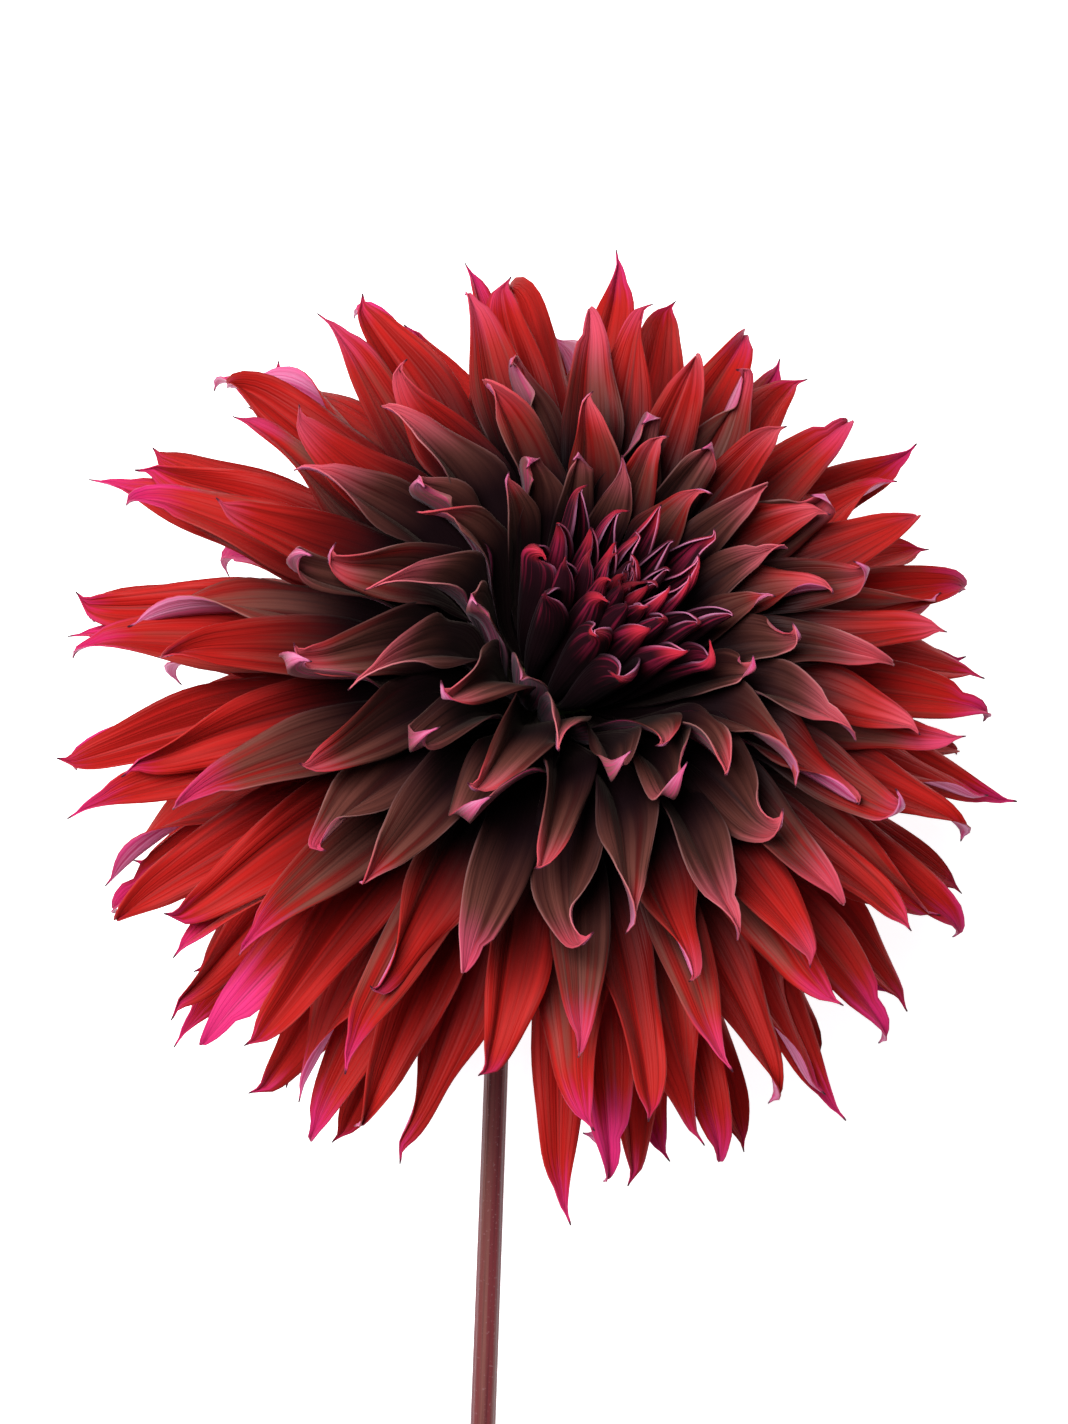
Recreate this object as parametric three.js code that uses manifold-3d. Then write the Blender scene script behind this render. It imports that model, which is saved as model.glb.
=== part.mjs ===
// A cut decorative dahlia with one double bloom, lying on a table.
//
// Units are millimetres, +Z is up and the table is z = 0. The bloom faces up and to one side, its
// stem runs along -Y and comes down to the table at the cut end. About 250 florets grow in a
// golden-angle spiral over a round receptacle: rolled buds in the heart, then dark inner petals,
// then long red outer petals, and the back petals that press on the table.
//
// Every floret is first shaped round the bloom's axis, where its place has a polar angle and a
// turn. The bloom is then turned to face its way, its heart nods further over and its rim sags.

import * as THREE from 'three';
import { mergeVertices } from 'three/addons/utils/BufferGeometryUtils.js';
import Module from 'manifold-3d';

const wasm = await Module();
wasm.setup();

const degrees = THREE.MathUtils.degToRad;

// Driving dimensions of the bloom
const FLORETS = 250;
const RECEPTACLE_RADIUS = 10;
const FLORET_BASE_RADIUS = 14;
const CORE_ROOT_DEPTH = 3;
const LAST_POLAR = degrees(142);
const FIRST_TURN = degrees(20);
const GOLDEN_ANGLE = Math.PI * (3 - Math.sqrt(5));
const BLOOM_HEIGHT = 78;
const BLOOM_TILT = degrees(27);
const BLOOM_TURN = degrees(34);
const NOD = 15;
const NOD_HEIGHT = [10, 44];
const NOD_SPREAD = [16, 62];
const SAG = 0.05;
const SAG_RADIUS = 100;
const KEEL_THICKNESS = 1.3;

// Driving dimensions of the stem and the green calyx. The stem leaves the bloom against its axis,
// bends towards -Y within a few centimetres and falls gently to the table.
const STEM_TOP_RADIUS = 2.4;
const STEM_END_RADIUS = 3.3;
const STEM_NECK = 28;
const STEM_BEND = [-10.5, -24, 41];
const STEM_BACK = [-12.1, -70, 34];
const STEM_END = [-20.9, -300];
const STEM_FALL = [-19.4, -262, 7.5];
const STEM_SIDES = 10;
const STEM_STEPS = 22;
const STEM_SPACING = 1.6;
const STEM_GAP = 0.3;
const CALYX_DEPTH = 16;
const CALYX_RIM_POLAR = degrees(147);
const CALYX_FOOT_RADIUS = 3.4;
const CALYX_FOOT_SPREAD = 2;
const CALYX_FOOT_HEIGHT = 0.6;
const CALYX_SIDES = 16;
const BRACTS = 6;
const BRACT_LENGTH = 17;
const BRACT_WIDTH = 7.5;
const BRACT_THICKNESS = 1.2;
const BRACT_STATIONS = [{ along: 0, fullness: 0.7 }, { along: 0.5, fullness: 1 }, { along: 1, fullness: 0.15 }];
const BRACT_LEAN = [degrees(138), degrees(158)];
const BRACT_POLAR = degrees(156);

// How a floret changes with its age, from 0 in the heart to 1 at the back: length and width in mm,
// lean from the bloom's axis at the root and at the tip, and how far its section curls up at the
// root, the middle and the tip, all four in degrees.
const STAGES = [
  { age: 0.00, length: 29, width: 9, lean: [0, -4], curl: [150, 150, 150] },
  { age: 0.07, length: 33, width: 12, lean: [22, -4], curl: [150, 150, 160] },
  { age: 0.14, length: 40, width: 14, lean: [36, 14], curl: [140, 125, 135] },
  { age: 0.20, length: 49, width: 14.4, lean: [42, 40], curl: [110, 80, 95] },
  { age: 0.30, length: 63, width: 13.8, lean: [46, 64], curl: [95, 60, 80] },
  { age: 0.42, length: 79, width: 14, lean: [54, 84], curl: [90, 52, 66] },
  { age: 0.60, length: 93, width: 14.4, lean: [76, 104], curl: [88, 48, 60] },
  { age: 0.80, length: 96, width: 14.2, lean: [102, 120], curl: [88, 48, 60] },
  { age: 1.00, length: 92, width: 14, lean: [134, 166], curl: [88, 48, 60] },
];

// How far a floret may differ from its stage, in the heart and among the open petals: length and
// width as shares, the lean at the tip, the sway and the twist in degrees. The florets on the lower
// side of the bloom are also longer than those on its upper side.
const OPEN_FROM = [0.1, 0.35];
const SHORTER = [0.03, 0.045];
const WIDER = 0.14;
const LEAN_CHANGE = [5, 13];
const SWAY = [4, 18];
const TWIST = [8, 26];
const LOPSIDED = 0.035;
const HOOK = 22;
const HOOK_CHANGE = 34;

// Where along a floret its twist and its hooked tip begin, and how its lean grows
const TWIST_FROM = 0.25;
const HOOK_FROM = 0.88;
const HOOK_POWER = 1.5;
const LEAN_POWER = 1.15;

// The groups of florets, each with its own colour or place, by the number of its first floret
const GROUPS = [
  { name: 'heart_buds', first: 0, core: 29, colour: 0x8c1f4c, roughness: 0.55 },
  { name: 'inner_petals', first: 40, core: 38, colour: 0x47201c, roughness: 0.6 },
  { name: 'outer_petals', first: 110, core: 44, colour: 0xae1f26, roughness: 0.6 },
  { name: 'back_petals', first: 188, core: 36, colour: 0xb92236, roughness: 0.6 },
];

// The shapes of a petal and a bud: their rings by the share of the length, and the petal's outline
const PETAL_STATIONS = [0.56, 0.84, 1];
const PETAL_ROOT_WIDTH = 0.36;
const PETAL_FULL_FROM = 0.6;
const PETAL_TAPER_FROM = 0.75;
const PETAL_BLUNTNESS = 2.7;
const PETAL_FLAT_FROM = 0.45;
const PETAL_FOLD_FROM = 0.62;
const TIP_HALF_WIDTH = 0.5;
const BUD_STATIONS = [0.75, 1];
const BUD_FULLNESS = [0.45, 0.85, 0.12];
const PATH_STEPS = 30;

// The room between the groups, and the thick core inside each of them
const BORDER_REACH = 1.4;
const GROUP_CLEARANCE = 2.1;
const SHELL_GAP = 0.4;
const LAST_CORE_POLAR = degrees(144);
const CORE_SIDES = 20;
const CORE_STEPS = 5;
const RECEPTACLE_SIDES = [16, 9];
const SOFT_EDGE = degrees(5);

// The petals part round the stem, as it is seen from above and, at the back, where it really is.
// The back petals are cut where they press on the table.
const STEM_PARTING = [degrees(7.5), degrees(18)];
const STEM_PARTING_REACH = degrees(42);
const STEM_PARTING_POLAR = [degrees(80), degrees(96)];
const STEM_WIDENING_POLAR = [degrees(112), degrees(135)];
const STEM_SEEN_ASIDE = degrees(-14);
const TABLE_CLEARANCE = 2;
const TABLE_PRESS = 3;
const TABLE_BLOCK = [600, 600, 300];

const up = new THREE.Vector3(0, 0, 1);
const axis = new THREE.Vector3(
  Math.sin(BLOOM_TILT) * Math.sin(BLOOM_TURN),
  Math.sin(BLOOM_TILT) * Math.cos(BLOOM_TURN),
  Math.cos(BLOOM_TILT),
);
const side = axis.clone().cross(up).normalize();
const rise = axis.clone().cross(side);
const nodWay = new THREE.Vector3(Math.sin(BLOOM_TURN), Math.cos(BLOOM_TURN), 0);
const centre = new THREE.Vector3(0, 0, BLOOM_HEIGHT);

function smooth(from, to, x) {
  return THREE.MathUtils.smoothstep(x, from, to);
}

// A repeatable draw from -1 to 1 for one trait of one floret
function draw(floret, trait) {
  const modulus = 2147483647;
  let state = (floret * 7919 + trait * 104729 + 20011) % modulus;
  for (let turn = 0; turn < 3; turn += 1) state = (state * 48271) % modulus;
  return 2 * state / modulus - 1;
}

// The stage at an age between the rows of the table above
function stageAt(age) {
  const next = Math.max(1, STAGES.findIndex((stage) => stage.age >= age));
  const [a, b] = [STAGES[next - 1], STAGES[next]];
  const share = (age - a.age) / (b.age - a.age);
  const mix = (x, y) => x + (y - x) * share;
  return {
    length: mix(a.length, b.length),
    width: mix(a.width, b.width),
    lean: a.lean.map((x, i) => mix(x, b.lean[i])),
    curl: a.curl.map((x, i) => mix(x, b.curl[i])),
  };
}

function polarAt(age) {
  return Math.acos(1 - (1 - Math.cos(LAST_POLAR)) * age);
}

// The turn of the stem round the bloom's axis
const stemTurn = (() => {
  const down = new THREE.Vector3(...STEM_BACK).sub(centre);
  return Math.atan2(down.dot(rise), down.dot(side));
})();

// The angle from the stem to a floret's turn. For the front florets that is the stem as it is seen
// from above.
function fromStem(turn, widening) {
  const away = turn - stemTurn - STEM_SEEN_ASIDE * (1 - widening);
  return THREE.MathUtils.euclideanModulo(away + Math.PI, 2 * Math.PI) - Math.PI;
}

// A floret's turn after it has moved aside from the stem, and how close to the stem it is, from 0
// to 1. The florets beside the stem are straighter.
function besideStem(turn, polar) {
  const widening = smooth(...STEM_WIDENING_POLAR, polar);
  const away = fromStem(turn, widening);
  if (Math.abs(away) > STEM_PARTING_REACH) return { turn, beside: 0 };
  const share = smooth(...STEM_PARTING_POLAR, polar);
  const [narrow, wide] = STEM_PARTING;
  const parting = narrow + (wide - narrow) * widening;
  const pushed = parting + Math.abs(away) * (1 - parting / STEM_PARTING_REACH);
  const near = 1 - smooth(0, STEM_PARTING_REACH, Math.abs(away));
  return { turn: turn + share * (Math.sign(away) * pushed - away), beside: near * share };
}

// The middle line of a floret round an upright axis, as frames of a point and three directions
function floretPath(traits) {
  const out = new THREE.Vector3(Math.cos(traits.turn), Math.sin(traits.turn), 0);
  const round = up.clone().cross(out);
  const point = out.clone().multiplyScalar(Math.sin(traits.polar)).addScaledVector(up, Math.cos(traits.polar));
  point.multiplyScalar(FLORET_BASE_RADIUS);
  const frames = [];
  const step = traits.length / PATH_STEPS;
  for (let i = 0; i <= PATH_STEPS; i += 1) {
    const along = i / PATH_STEPS;
    const hook = traits.hook * Math.max(0, (along - HOOK_FROM) / (1 - HOOK_FROM)) ** HOOK_POWER;
    const lean = traits.lean[0] + (traits.lean[1] - traits.lean[0]) * along ** LEAN_POWER - hook;
    const sway = traits.sway * along * along;
    const ahead = out.clone().multiplyScalar(Math.sin(lean)).addScaledVector(up, Math.cos(lean));
    ahead.multiplyScalar(Math.cos(sway)).addScaledVector(round, Math.sin(sway));
    const inward = out.clone().multiplyScalar(-Math.cos(lean)).addScaledVector(up, Math.sin(lean));
    const across = ahead.clone().cross(inward).normalize();
    inward.copy(across).cross(ahead);
    const twist = traits.twist * smooth(TWIST_FROM, 1, along);
    const turned = across.clone().multiplyScalar(Math.cos(twist)).addScaledVector(inward, Math.sin(twist));
    const facing = inward.clone().multiplyScalar(Math.cos(twist)).addScaledVector(across, -Math.sin(twist));
    frames.push({ point: point.clone(), across: turned, facing });
    point.addScaledVector(ahead, step);
  }
  return frames;
}

// Everything that the rule says about one floret
function floretTraits(floret) {
  const age = (floret + 0.5) / FLORETS;
  const stage = stageAt(age);
  const open = smooth(...OPEN_FROM, age);
  const reach = ([bud, petal]) => bud + (petal - bud) * open;
  const polar = polarAt(age);
  const { turn, beside } = besideStem(FIRST_TURN + floret * GOLDEN_ANGLE, polar);
  const length = stage.length * (1 - LOPSIDED * Math.sin(turn));
  return {
    age,
    polar,
    turn,
    length: length * (1 - reach(SHORTER) * (1 + draw(floret, 0))),
    width: stage.width * (1 + WIDER * draw(floret, 1)),
    lean: [degrees(stage.lean[0]), degrees(stage.lean[1] + reach(LEAN_CHANGE) * draw(floret, 2))],
    sway: degrees(reach(SWAY) * draw(floret, 3)) * (1 - beside),
    twist: degrees(reach(TWIST) * draw(floret, 4)),
    hook: degrees(HOOK + HOOK_CHANGE * draw(floret, 5)),
    curl: stage.curl.map(degrees),
  };
}

// The smooth surface between two groups: its polar angle at each distance from the centre
function borderOf(firstFloret) {
  const age = firstFloret / FLORETS;
  const stage = stageAt(age);
  const traits = { polar: polarAt(age), turn: 0, length: stage.length * BORDER_REACH, lean: stage.lean.map(degrees) };
  const frames = floretPath({ ...traits, sway: 0, twist: 0, hook: 0 });
  return frames.map(({ point }) => ({ radius: point.length(), polar: Math.acos(point.z / point.length()) }));
}

function borderPolar(border, radius) {
  if (radius <= border[0].radius) return border[0].polar;
  const next = border.findIndex((row) => row.radius >= radius);
  if (next < 0) return border.at(-1).polar;
  const [a, b] = [border[next - 1], border[next]];
  return a.polar + (b.polar - a.polar) * (radius - a.radius) / (b.radius - a.radius);
}

// Eases a polar angle so that it stays past a limit, without a crease
function easedPast(polar, limit) {
  const soft = limit + SOFT_EDGE;
  return polar > soft ? polar : limit + SOFT_EDGE * Math.exp((polar - soft) / SOFT_EDGE);
}

// Keeps a point of one group between the borders before and after it
function heldBetween(point, { before, after }) {
  const radius = point.length();
  const clearance = GROUP_CLEARANCE / radius;
  let polar = Math.acos(THREE.MathUtils.clamp(point.z / radius, -1, 1));
  const turn = Math.atan2(point.y, point.x);
  if (before) polar = easedPast(polar, borderPolar(before, radius) + clearance);
  if (after) polar = -easedPast(-polar, clearance - borderPolar(after, radius));
  const across = radius * Math.sin(polar);
  return new THREE.Vector3(across * Math.cos(turn), across * Math.sin(turn), radius * Math.cos(polar));
}

// Takes a point from the upright axis to the bloom as it lies: the tips in its heart nod further
// over, and its rim sags
function placed(point) {
  const radius = point.length();
  const nod = NOD * smooth(...NOD_HEIGHT, point.z) * (1 - smooth(...NOD_SPREAD, Math.hypot(point.x, point.y)));
  const lying = side.clone().multiplyScalar(point.x).addScaledVector(rise, point.y).addScaledVector(axis, point.z);
  lying.addScaledVector(nodWay, nod);
  lying.y -= SAG * radius * (radius / SAG_RADIUS) ** 1.5;
  return lying.setLength(radius).add(centre);
}

// Half the width of a petal along its length: full past the middle, drawn out to a short point
function petalHalfWidth(width, along) {
  const body = PETAL_ROOT_WIDTH + (1 - PETAL_ROOT_WIDTH) * smooth(0, PETAL_FULL_FROM, along);
  const end = Math.max(0, (along - PETAL_TAPER_FROM) / (1 - PETAL_TAPER_FROM));
  return Math.max(TIP_HALF_WIDTH, width / 2 * body * (1 - end ** PETAL_BLUNTNESS));
}

// A closed solid through rings of points, each with the same count. The quads in flipped are split
// along their other diagonal, so that the two faces of a blade match.
function loft(rings, flipped = []) {
  const count = rings[0].length;
  const last = (rings.length - 1) * count;
  const index = [];
  for (let k = 1; k < count - 1; k += 1) {
    index.push(0, k + 1, k, last, last + k, last + k + 1);
  }
  for (let j = 0; j < rings.length - 1; j += 1) {
    for (let k = 0; k < count; k += 1) {
      const [a, b] = [j * count + k, j * count + (k + 1) % count];
      const [c, d] = [b + count, a + count];
      if (flipped.includes(k)) index.push(a, b, d, b, c, d);
      else index.push(a, b, c, a, c, d);
    }
  }
  const geometry = new THREE.BufferGeometry();
  geometry.setAttribute('position', new THREE.Float32BufferAttribute(rings.flat().flatMap((p) => p.toArray()), 3));
  geometry.setIndex(index);
  return geometry;
}

// The frames of a floret from inside the core to its tip
function stationsOf(frames, stations, core) {
  const buried = core - CORE_ROOT_DEPTH;
  const first = Math.max(0, frames.findIndex(({ point }) => point.length() > buried) - 1) / PATH_STEPS;
  return [first, ...stations].map((along) => ({ along, ...frames[Math.round(along * PATH_STEPS)] }));
}

// A petal: a thin blade, thickest along its keel, with two flanks that thin out to the edges
function petalBlade(traits, zone) {
  const rings = stationsOf(floretPath(traits), PETAL_STATIONS, zone.core).map((station) => {
    const { along, point, across, facing } = station;
    const half = petalHalfWidth(traits.width, along);
    const curl = traits.curl[0] + (traits.curl[1] - traits.curl[0]) * smooth(0, PETAL_FLAT_FROM, along)
      + (traits.curl[2] - traits.curl[1]) * smooth(PETAL_FOLD_FROM, 1, along);
    const [left, keel, right] = [-curl, 0, curl].map((bend) => {
      const middle = point.clone()
        .addScaledVector(across, Math.sin(bend) * half / curl)
        .addScaledVector(facing, (1 - Math.cos(bend)) * half / curl);
      const held = heldBetween(middle, zone);
      if (bend !== 0) return placed(held);
      return [-1, 1].map((face) => placed(held.clone().addScaledVector(facing, face * KEEL_THICKNESS / 2)));
    });
    return [keel[1], right, keel[0], left];
  });
  return loft(rings, [1, 2]);
}

// A bud: a rolled floret, as a solid spindle with four sides
function budSpindle(traits, zone) {
  const rings = stationsOf(floretPath(traits), BUD_STATIONS, zone.core).map((station, number) => {
    const radius = traits.width / 4 * BUD_FULLNESS[number];
    return [0, 1, 2, 3].map((corner) => {
      const bend = corner * Math.PI / 2;
      const rim = station.point.clone()
        .addScaledVector(station.across, Math.sin(bend) * radius)
        .addScaledVector(station.facing, Math.cos(bend) * radius);
      return placed(heldBetween(rim, zone));
    });
  });
  return loft(rings);
}

// The core that a group's florets grow from: its share of a thick shell, between its borders
function coreZone({ before, after, core }) {
  const inner = RECEPTACLE_RADIUS + SHELL_GAP;
  const edge = (border, radius, gap) => (border ? borderPolar(border, radius) : 0) + gap / radius;
  const from = (radius) => (before ? edge(before, radius, SHELL_GAP) : 0);
  const to = (radius) => (after ? edge(after, radius, -SHELL_GAP) : LAST_CORE_POLAR);
  const shares = Array.from({ length: CORE_STEPS + 1 }, (_, i) => i / CORE_STEPS);
  const rim = (radius, polar) => new THREE.Vector2(radius * Math.sin(polar), radius * Math.cos(polar));
  const between = (a, b, share) => a + (b - a) * share;
  const profile = [
    ...shares.map((share) => rim(inner, between(from(inner), to(inner), share))),
    ...shares.slice(1).map((share) => between(inner, core, share)).map((radius) => rim(radius, to(radius))),
    ...shares.slice(1).map((share) => rim(core, between(to(core), from(core), share))),
  ];
  if (before) {
    const back = shares.slice(1).map((share) => between(core, inner, share));
    profile.push(...back.map((radius) => rim(radius, from(radius))));
  }
  const zone = new THREE.LatheGeometry(profile, CORE_SIDES);
  zone.rotateX(Math.PI / 2);
  return moved(zone, placed);
}

// Applies a change of place to every corner of a geometry
function moved(geometry, change) {
  const position = geometry.getAttribute('position');
  const corner = new THREE.Vector3();
  for (let i = 0; i < position.count; i += 1) {
    position.setXYZ(i, ...change(corner.fromBufferAttribute(position, i)).toArray());
  }
  return geometry;
}

function solidOf(geometry) {
  geometry.deleteAttribute('normal');
  geometry.deleteAttribute('uv');
  const merged = mergeVertices(geometry, 1e-4);
  const solid = new wasm.Manifold(new wasm.Mesh({
    numProp: 3,
    vertProperties: new Float32Array(merged.getAttribute('position').array),
    triVerts: new Uint32Array(merged.index.array),
  }));
  return solid;
}

function geometryOf(solid) {
  const { vertProperties, triVerts } = solid.getMesh();
  const geometry = new THREE.BufferGeometry();
  geometry.setAttribute('position', new THREE.BufferAttribute(vertProperties, 3));
  geometry.setIndex(new THREE.BufferAttribute(triVerts, 1));
  return geometry;
}

// Joins solids, then keeps the one main body and drops any scrap that the cut at the table leaves
function joined(solids) {
  const bodies = wasm.Manifold.union(solids).decompose();
  return bodies.reduce((best, body) => (body.volume() > best.volume() ? body : best));
}

// What lies above the table
function tableTrim(solid) {
  const [width, depth, height] = TABLE_BLOCK;
  const block = new THREE.BoxGeometry(width, depth, height);
  block.translate(0, 0, height / 2);
  return solid.intersect(solidOf(block));
}

// Shortens a floret that would reach past the table
function fittedToTable(traits, depth) {
  const path = floretPath(traits);
  const [root, tip] = [path[0], path.at(-1)].map(({ point }) => placed(point).z);
  if (tip >= depth) return traits;
  return { ...traits, length: traits.length * (root - depth) / (root - tip) };
}

function floretGroup(group, number) {
  const next = GROUPS[number + 1];
  const zone = {
    before: number > 0 ? borderOf(group.first) : null,
    after: next ? borderOf(next.first) : null,
    core: group.core,
  };
  const solids = [solidOf(coreZone(zone))];
  for (let floret = group.first; floret < (next ? next.first : FLORETS); floret += 1) {
    const traits = fittedToTable(floretTraits(floret), next ? TABLE_CLEARANCE : -TABLE_PRESS);
    const shape = number === 0 ? budSpindle : petalBlade;
    solids.push(solidOf(shape(traits, zone)));
  }
  const body = joined(solids);
  return geometryOf(next ? body : joined([tableTrim(body)]));
}

// The green cup behind the bloom, with its bracts bent back round the stem
function calyx() {
  const inner = RECEPTACLE_RADIUS + SHELL_GAP;
  const profile = [new THREE.Vector2(0, -inner)];
  for (const share of [0.25, 0.5, 0.75, 1]) {
    const polar = Math.PI + (CALYX_RIM_POLAR - Math.PI) * share;
    profile.unshift(new THREE.Vector2(inner * Math.sin(polar), inner * Math.cos(polar)));
  }
  const rim = new THREE.Vector2(Math.sin(CALYX_RIM_POLAR), Math.cos(CALYX_RIM_POLAR));
  profile.unshift(rim.clone().multiplyScalar(CALYX_DEPTH));
  profile.unshift(new THREE.Vector2(CALYX_FOOT_RADIUS + CALYX_FOOT_SPREAD, CALYX_FOOT_HEIGHT - CALYX_DEPTH));
  profile.unshift(new THREE.Vector2(CALYX_FOOT_RADIUS, -CALYX_DEPTH));
  profile.unshift(new THREE.Vector2(0, -CALYX_DEPTH));
  const cup = new THREE.LatheGeometry(profile, CALYX_SIDES);
  cup.rotateX(Math.PI / 2);
  const solids = [solidOf(moved(cup, placed))];
  for (let bract = 0; bract < BRACTS; bract += 1) {
    const turn = stemTurn + (bract + 0.5) * 2 * Math.PI / BRACTS;
    const traits = { polar: BRACT_POLAR, turn, length: BRACT_LENGTH, lean: BRACT_LEAN, sway: 0, twist: 0, hook: 0 };
    solids.push(solidOf(bractBlade(floretPath(traits))));
  }
  return geometryOf(joined(solids));
}

function bractBlade(frames) {
  const rings = BRACT_STATIONS.map(({ along, fullness }) => {
    const { point, across, facing } = frames[Math.round(along * PATH_STEPS)];
    return [[0, 1], [1, 0], [0, -1], [-1, 0]].map(([sideways, outward]) => placed(point.clone()
      .addScaledVector(across, sideways * fullness * BRACT_WIDTH / 2)
      .addScaledVector(facing, outward * BRACT_THICKNESS / 2)));
  });
  return loft(rings, [1, 2]);
}

// The stem's middle line, from the calyx to the table
function stemLine() {
  const onAxis = (distance) => centre.clone().addScaledVector(axis, -distance);
  const [endX, endY] = STEM_END;
  const lyingHeight = STEM_END_RADIUS * Math.cos(Math.PI / STEM_SIDES);
  return new THREE.CatmullRomCurve3([
    onAxis(CALYX_DEPTH + STEM_GAP),
    onAxis(STEM_NECK),
    new THREE.Vector3(...STEM_BEND),
    new THREE.Vector3(...STEM_BACK),
    new THREE.Vector3(...STEM_FALL),
    new THREE.Vector3(endX, endY, lyingHeight),
  ], false, 'centripetal');
}

// The stem: a round tube of rings along its line, thicker towards the cut end
function stem() {
  const line = stemLine();
  const rings = Array.from({ length: STEM_STEPS + 1 }, (_, i) => {
    const share = (i / STEM_STEPS) ** STEM_SPACING;
    const point = line.getPointAt(share);
    const ahead = line.getTangentAt(share);
    const across = ahead.clone().cross(up).normalize();
    const over = across.clone().cross(ahead);
    const radius = STEM_TOP_RADIUS + (STEM_END_RADIUS - STEM_TOP_RADIUS) * share;
    return Array.from({ length: STEM_SIDES }, (_, corner) => {
      const bend = (corner + 0.5) * 2 * Math.PI / STEM_SIDES;
      const rim = point.clone()
        .addScaledVector(across, Math.sin(bend) * radius)
        .addScaledVector(over, Math.cos(bend) * radius);
      return rim;
    });
  });
  return loft(rings);
}

// The receptacle: the round seat that every floret grows from
function placedBall() {
  const ball = new THREE.SphereGeometry(RECEPTACLE_RADIUS, ...RECEPTACLE_SIDES);
  return ball.translate(...centre.toArray());
}

const flower = new THREE.Group();

function addMesh(name, geometry, colour, roughness) {
  const mesh = new THREE.Mesh(geometry, new THREE.MeshStandardMaterial({ color: colour, roughness, metalness: 0 }));
  mesh.name = name;
  flower.add(mesh);
  return mesh;
}

GROUPS.forEach((group, number) => {
  addMesh(group.name, floretGroup(group, number), group.colour, group.roughness);
});

addMesh('receptacle', placedBall(), 0x6f8a3c, 0.7);
addMesh('calyx', calyx(), 0x4f6b2a, 0.6);
addMesh('stem', stem(), 0x5c3136, 0.5);

// The origin: the middle of the flower's box, on the table
const box = new THREE.Box3().setFromObject(flower);
flower.position.set(-(box.min.x + box.max.x) / 2, -(box.min.y + box.max.y) / 2, 0);

export default flower;
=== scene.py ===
"""A cut decorative dahlia: one double bloom of 250 florets on a bare stem, lying on a table.

Every floret follows the rule of the solid model, which gives its length, width, lean, twist and
place from its number. Here each one becomes a thin petal of its own with a keel, waved edges,
fine veins and a small dark nib, and some tips are rolled, bent back or pinched. Lengths in the
rule are in millimetres and angles in radians; the finished pieces are in metres, in the frame's
own coordinates.
"""

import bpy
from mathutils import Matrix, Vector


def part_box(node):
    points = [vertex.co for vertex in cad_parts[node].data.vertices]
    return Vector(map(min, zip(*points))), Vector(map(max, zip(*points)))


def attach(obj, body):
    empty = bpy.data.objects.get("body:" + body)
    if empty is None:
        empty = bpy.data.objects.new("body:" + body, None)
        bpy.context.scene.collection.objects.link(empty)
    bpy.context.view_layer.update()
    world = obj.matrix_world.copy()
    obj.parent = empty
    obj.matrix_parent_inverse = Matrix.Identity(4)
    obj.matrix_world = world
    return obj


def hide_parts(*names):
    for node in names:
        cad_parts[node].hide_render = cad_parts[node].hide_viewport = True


bl_info = {
    "name": "Cut dahlia",
    "version": (1, 0, 0),
    "blender": (4, 5, 0),
    "location": "View3D > Sidebar > Dahlia",
    "description": "Makes a cut dahlia, its bloom and its stem, round the packed model",
    "category": "Add Mesh",
}

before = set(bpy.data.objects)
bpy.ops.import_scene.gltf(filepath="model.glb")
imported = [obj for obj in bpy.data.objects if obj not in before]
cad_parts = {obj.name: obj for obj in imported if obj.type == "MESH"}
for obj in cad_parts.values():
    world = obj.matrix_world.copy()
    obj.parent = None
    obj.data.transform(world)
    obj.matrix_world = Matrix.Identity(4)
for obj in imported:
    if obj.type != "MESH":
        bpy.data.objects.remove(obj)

from math import acos, atan2, copysign, cos, pi, radians, sin, sqrt

import bmesh
import bpy
import numpy as np
from bpy.types import NodeSocket, Operator, Panel, PropertyGroup
from mathutils import Vector

BODY = "root"
MM = 0.001

# The bloom, as in the solid model: its axis, its florets' places, and how its heart nods and its
# rim sags
FLORETS = 250
RECEPTACLE_RADIUS = 10
FLORET_BASE_RADIUS = 14
LAST_POLAR = radians(142)
FIRST_TURN = radians(20)
GOLDEN_ANGLE = pi * (3 - sqrt(5))
BLOOM_TILT = radians(27)
BLOOM_TURN = radians(34)
NOD = 15
NOD_HEIGHT = (10, 44)
NOD_SPREAD = (16, 62)
SAG = 0.05
SAG_RADIUS = 100
SAG_POWER = 1.5
LOPSIDED = 0.035

# The stem's line by its points from the table under the bloom's middle, and the green calyx
STEM_NECK = 28
STEM_BEND = (-10.5, -24, 41)
STEM_BACK = (-12.1, -70, 34)
STEM_FALL = (-19.4, -262, 7.5)
STEM_END = (-20.9, -300, 3.14)
STEM_GAP = 0.3
CURVE_STEPS = 60
CALYX_DEPTH = 16
CALYX_RIM_POLAR = radians(147)
CALYX_FOOT_RADIUS = 3.4
CALYX_FOOT_SPREAD = 2
CALYX_FOOT_HEIGHT = 0.6
CALYX_BOWL_POINTS = 7
CALYX_SIDES = 40
SHELL_GAP = 0.4
MERGED_WITHIN = 0.01
BRACTS = 6
BRACT_LENGTH = 17
BRACT_WIDTH = 7.5
BRACT_FOOT = 0.7
BRACT_POINT = 0.15
BRACT_WIDEST_AT = 0.5
BRACT_CUP = 0.5
BRACT_WALL = 0.9
BRACT_GRID = (8, 14)
BRACT_LEAN = (radians(138), radians(158))
BRACT_POLAR = radians(156)

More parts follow.
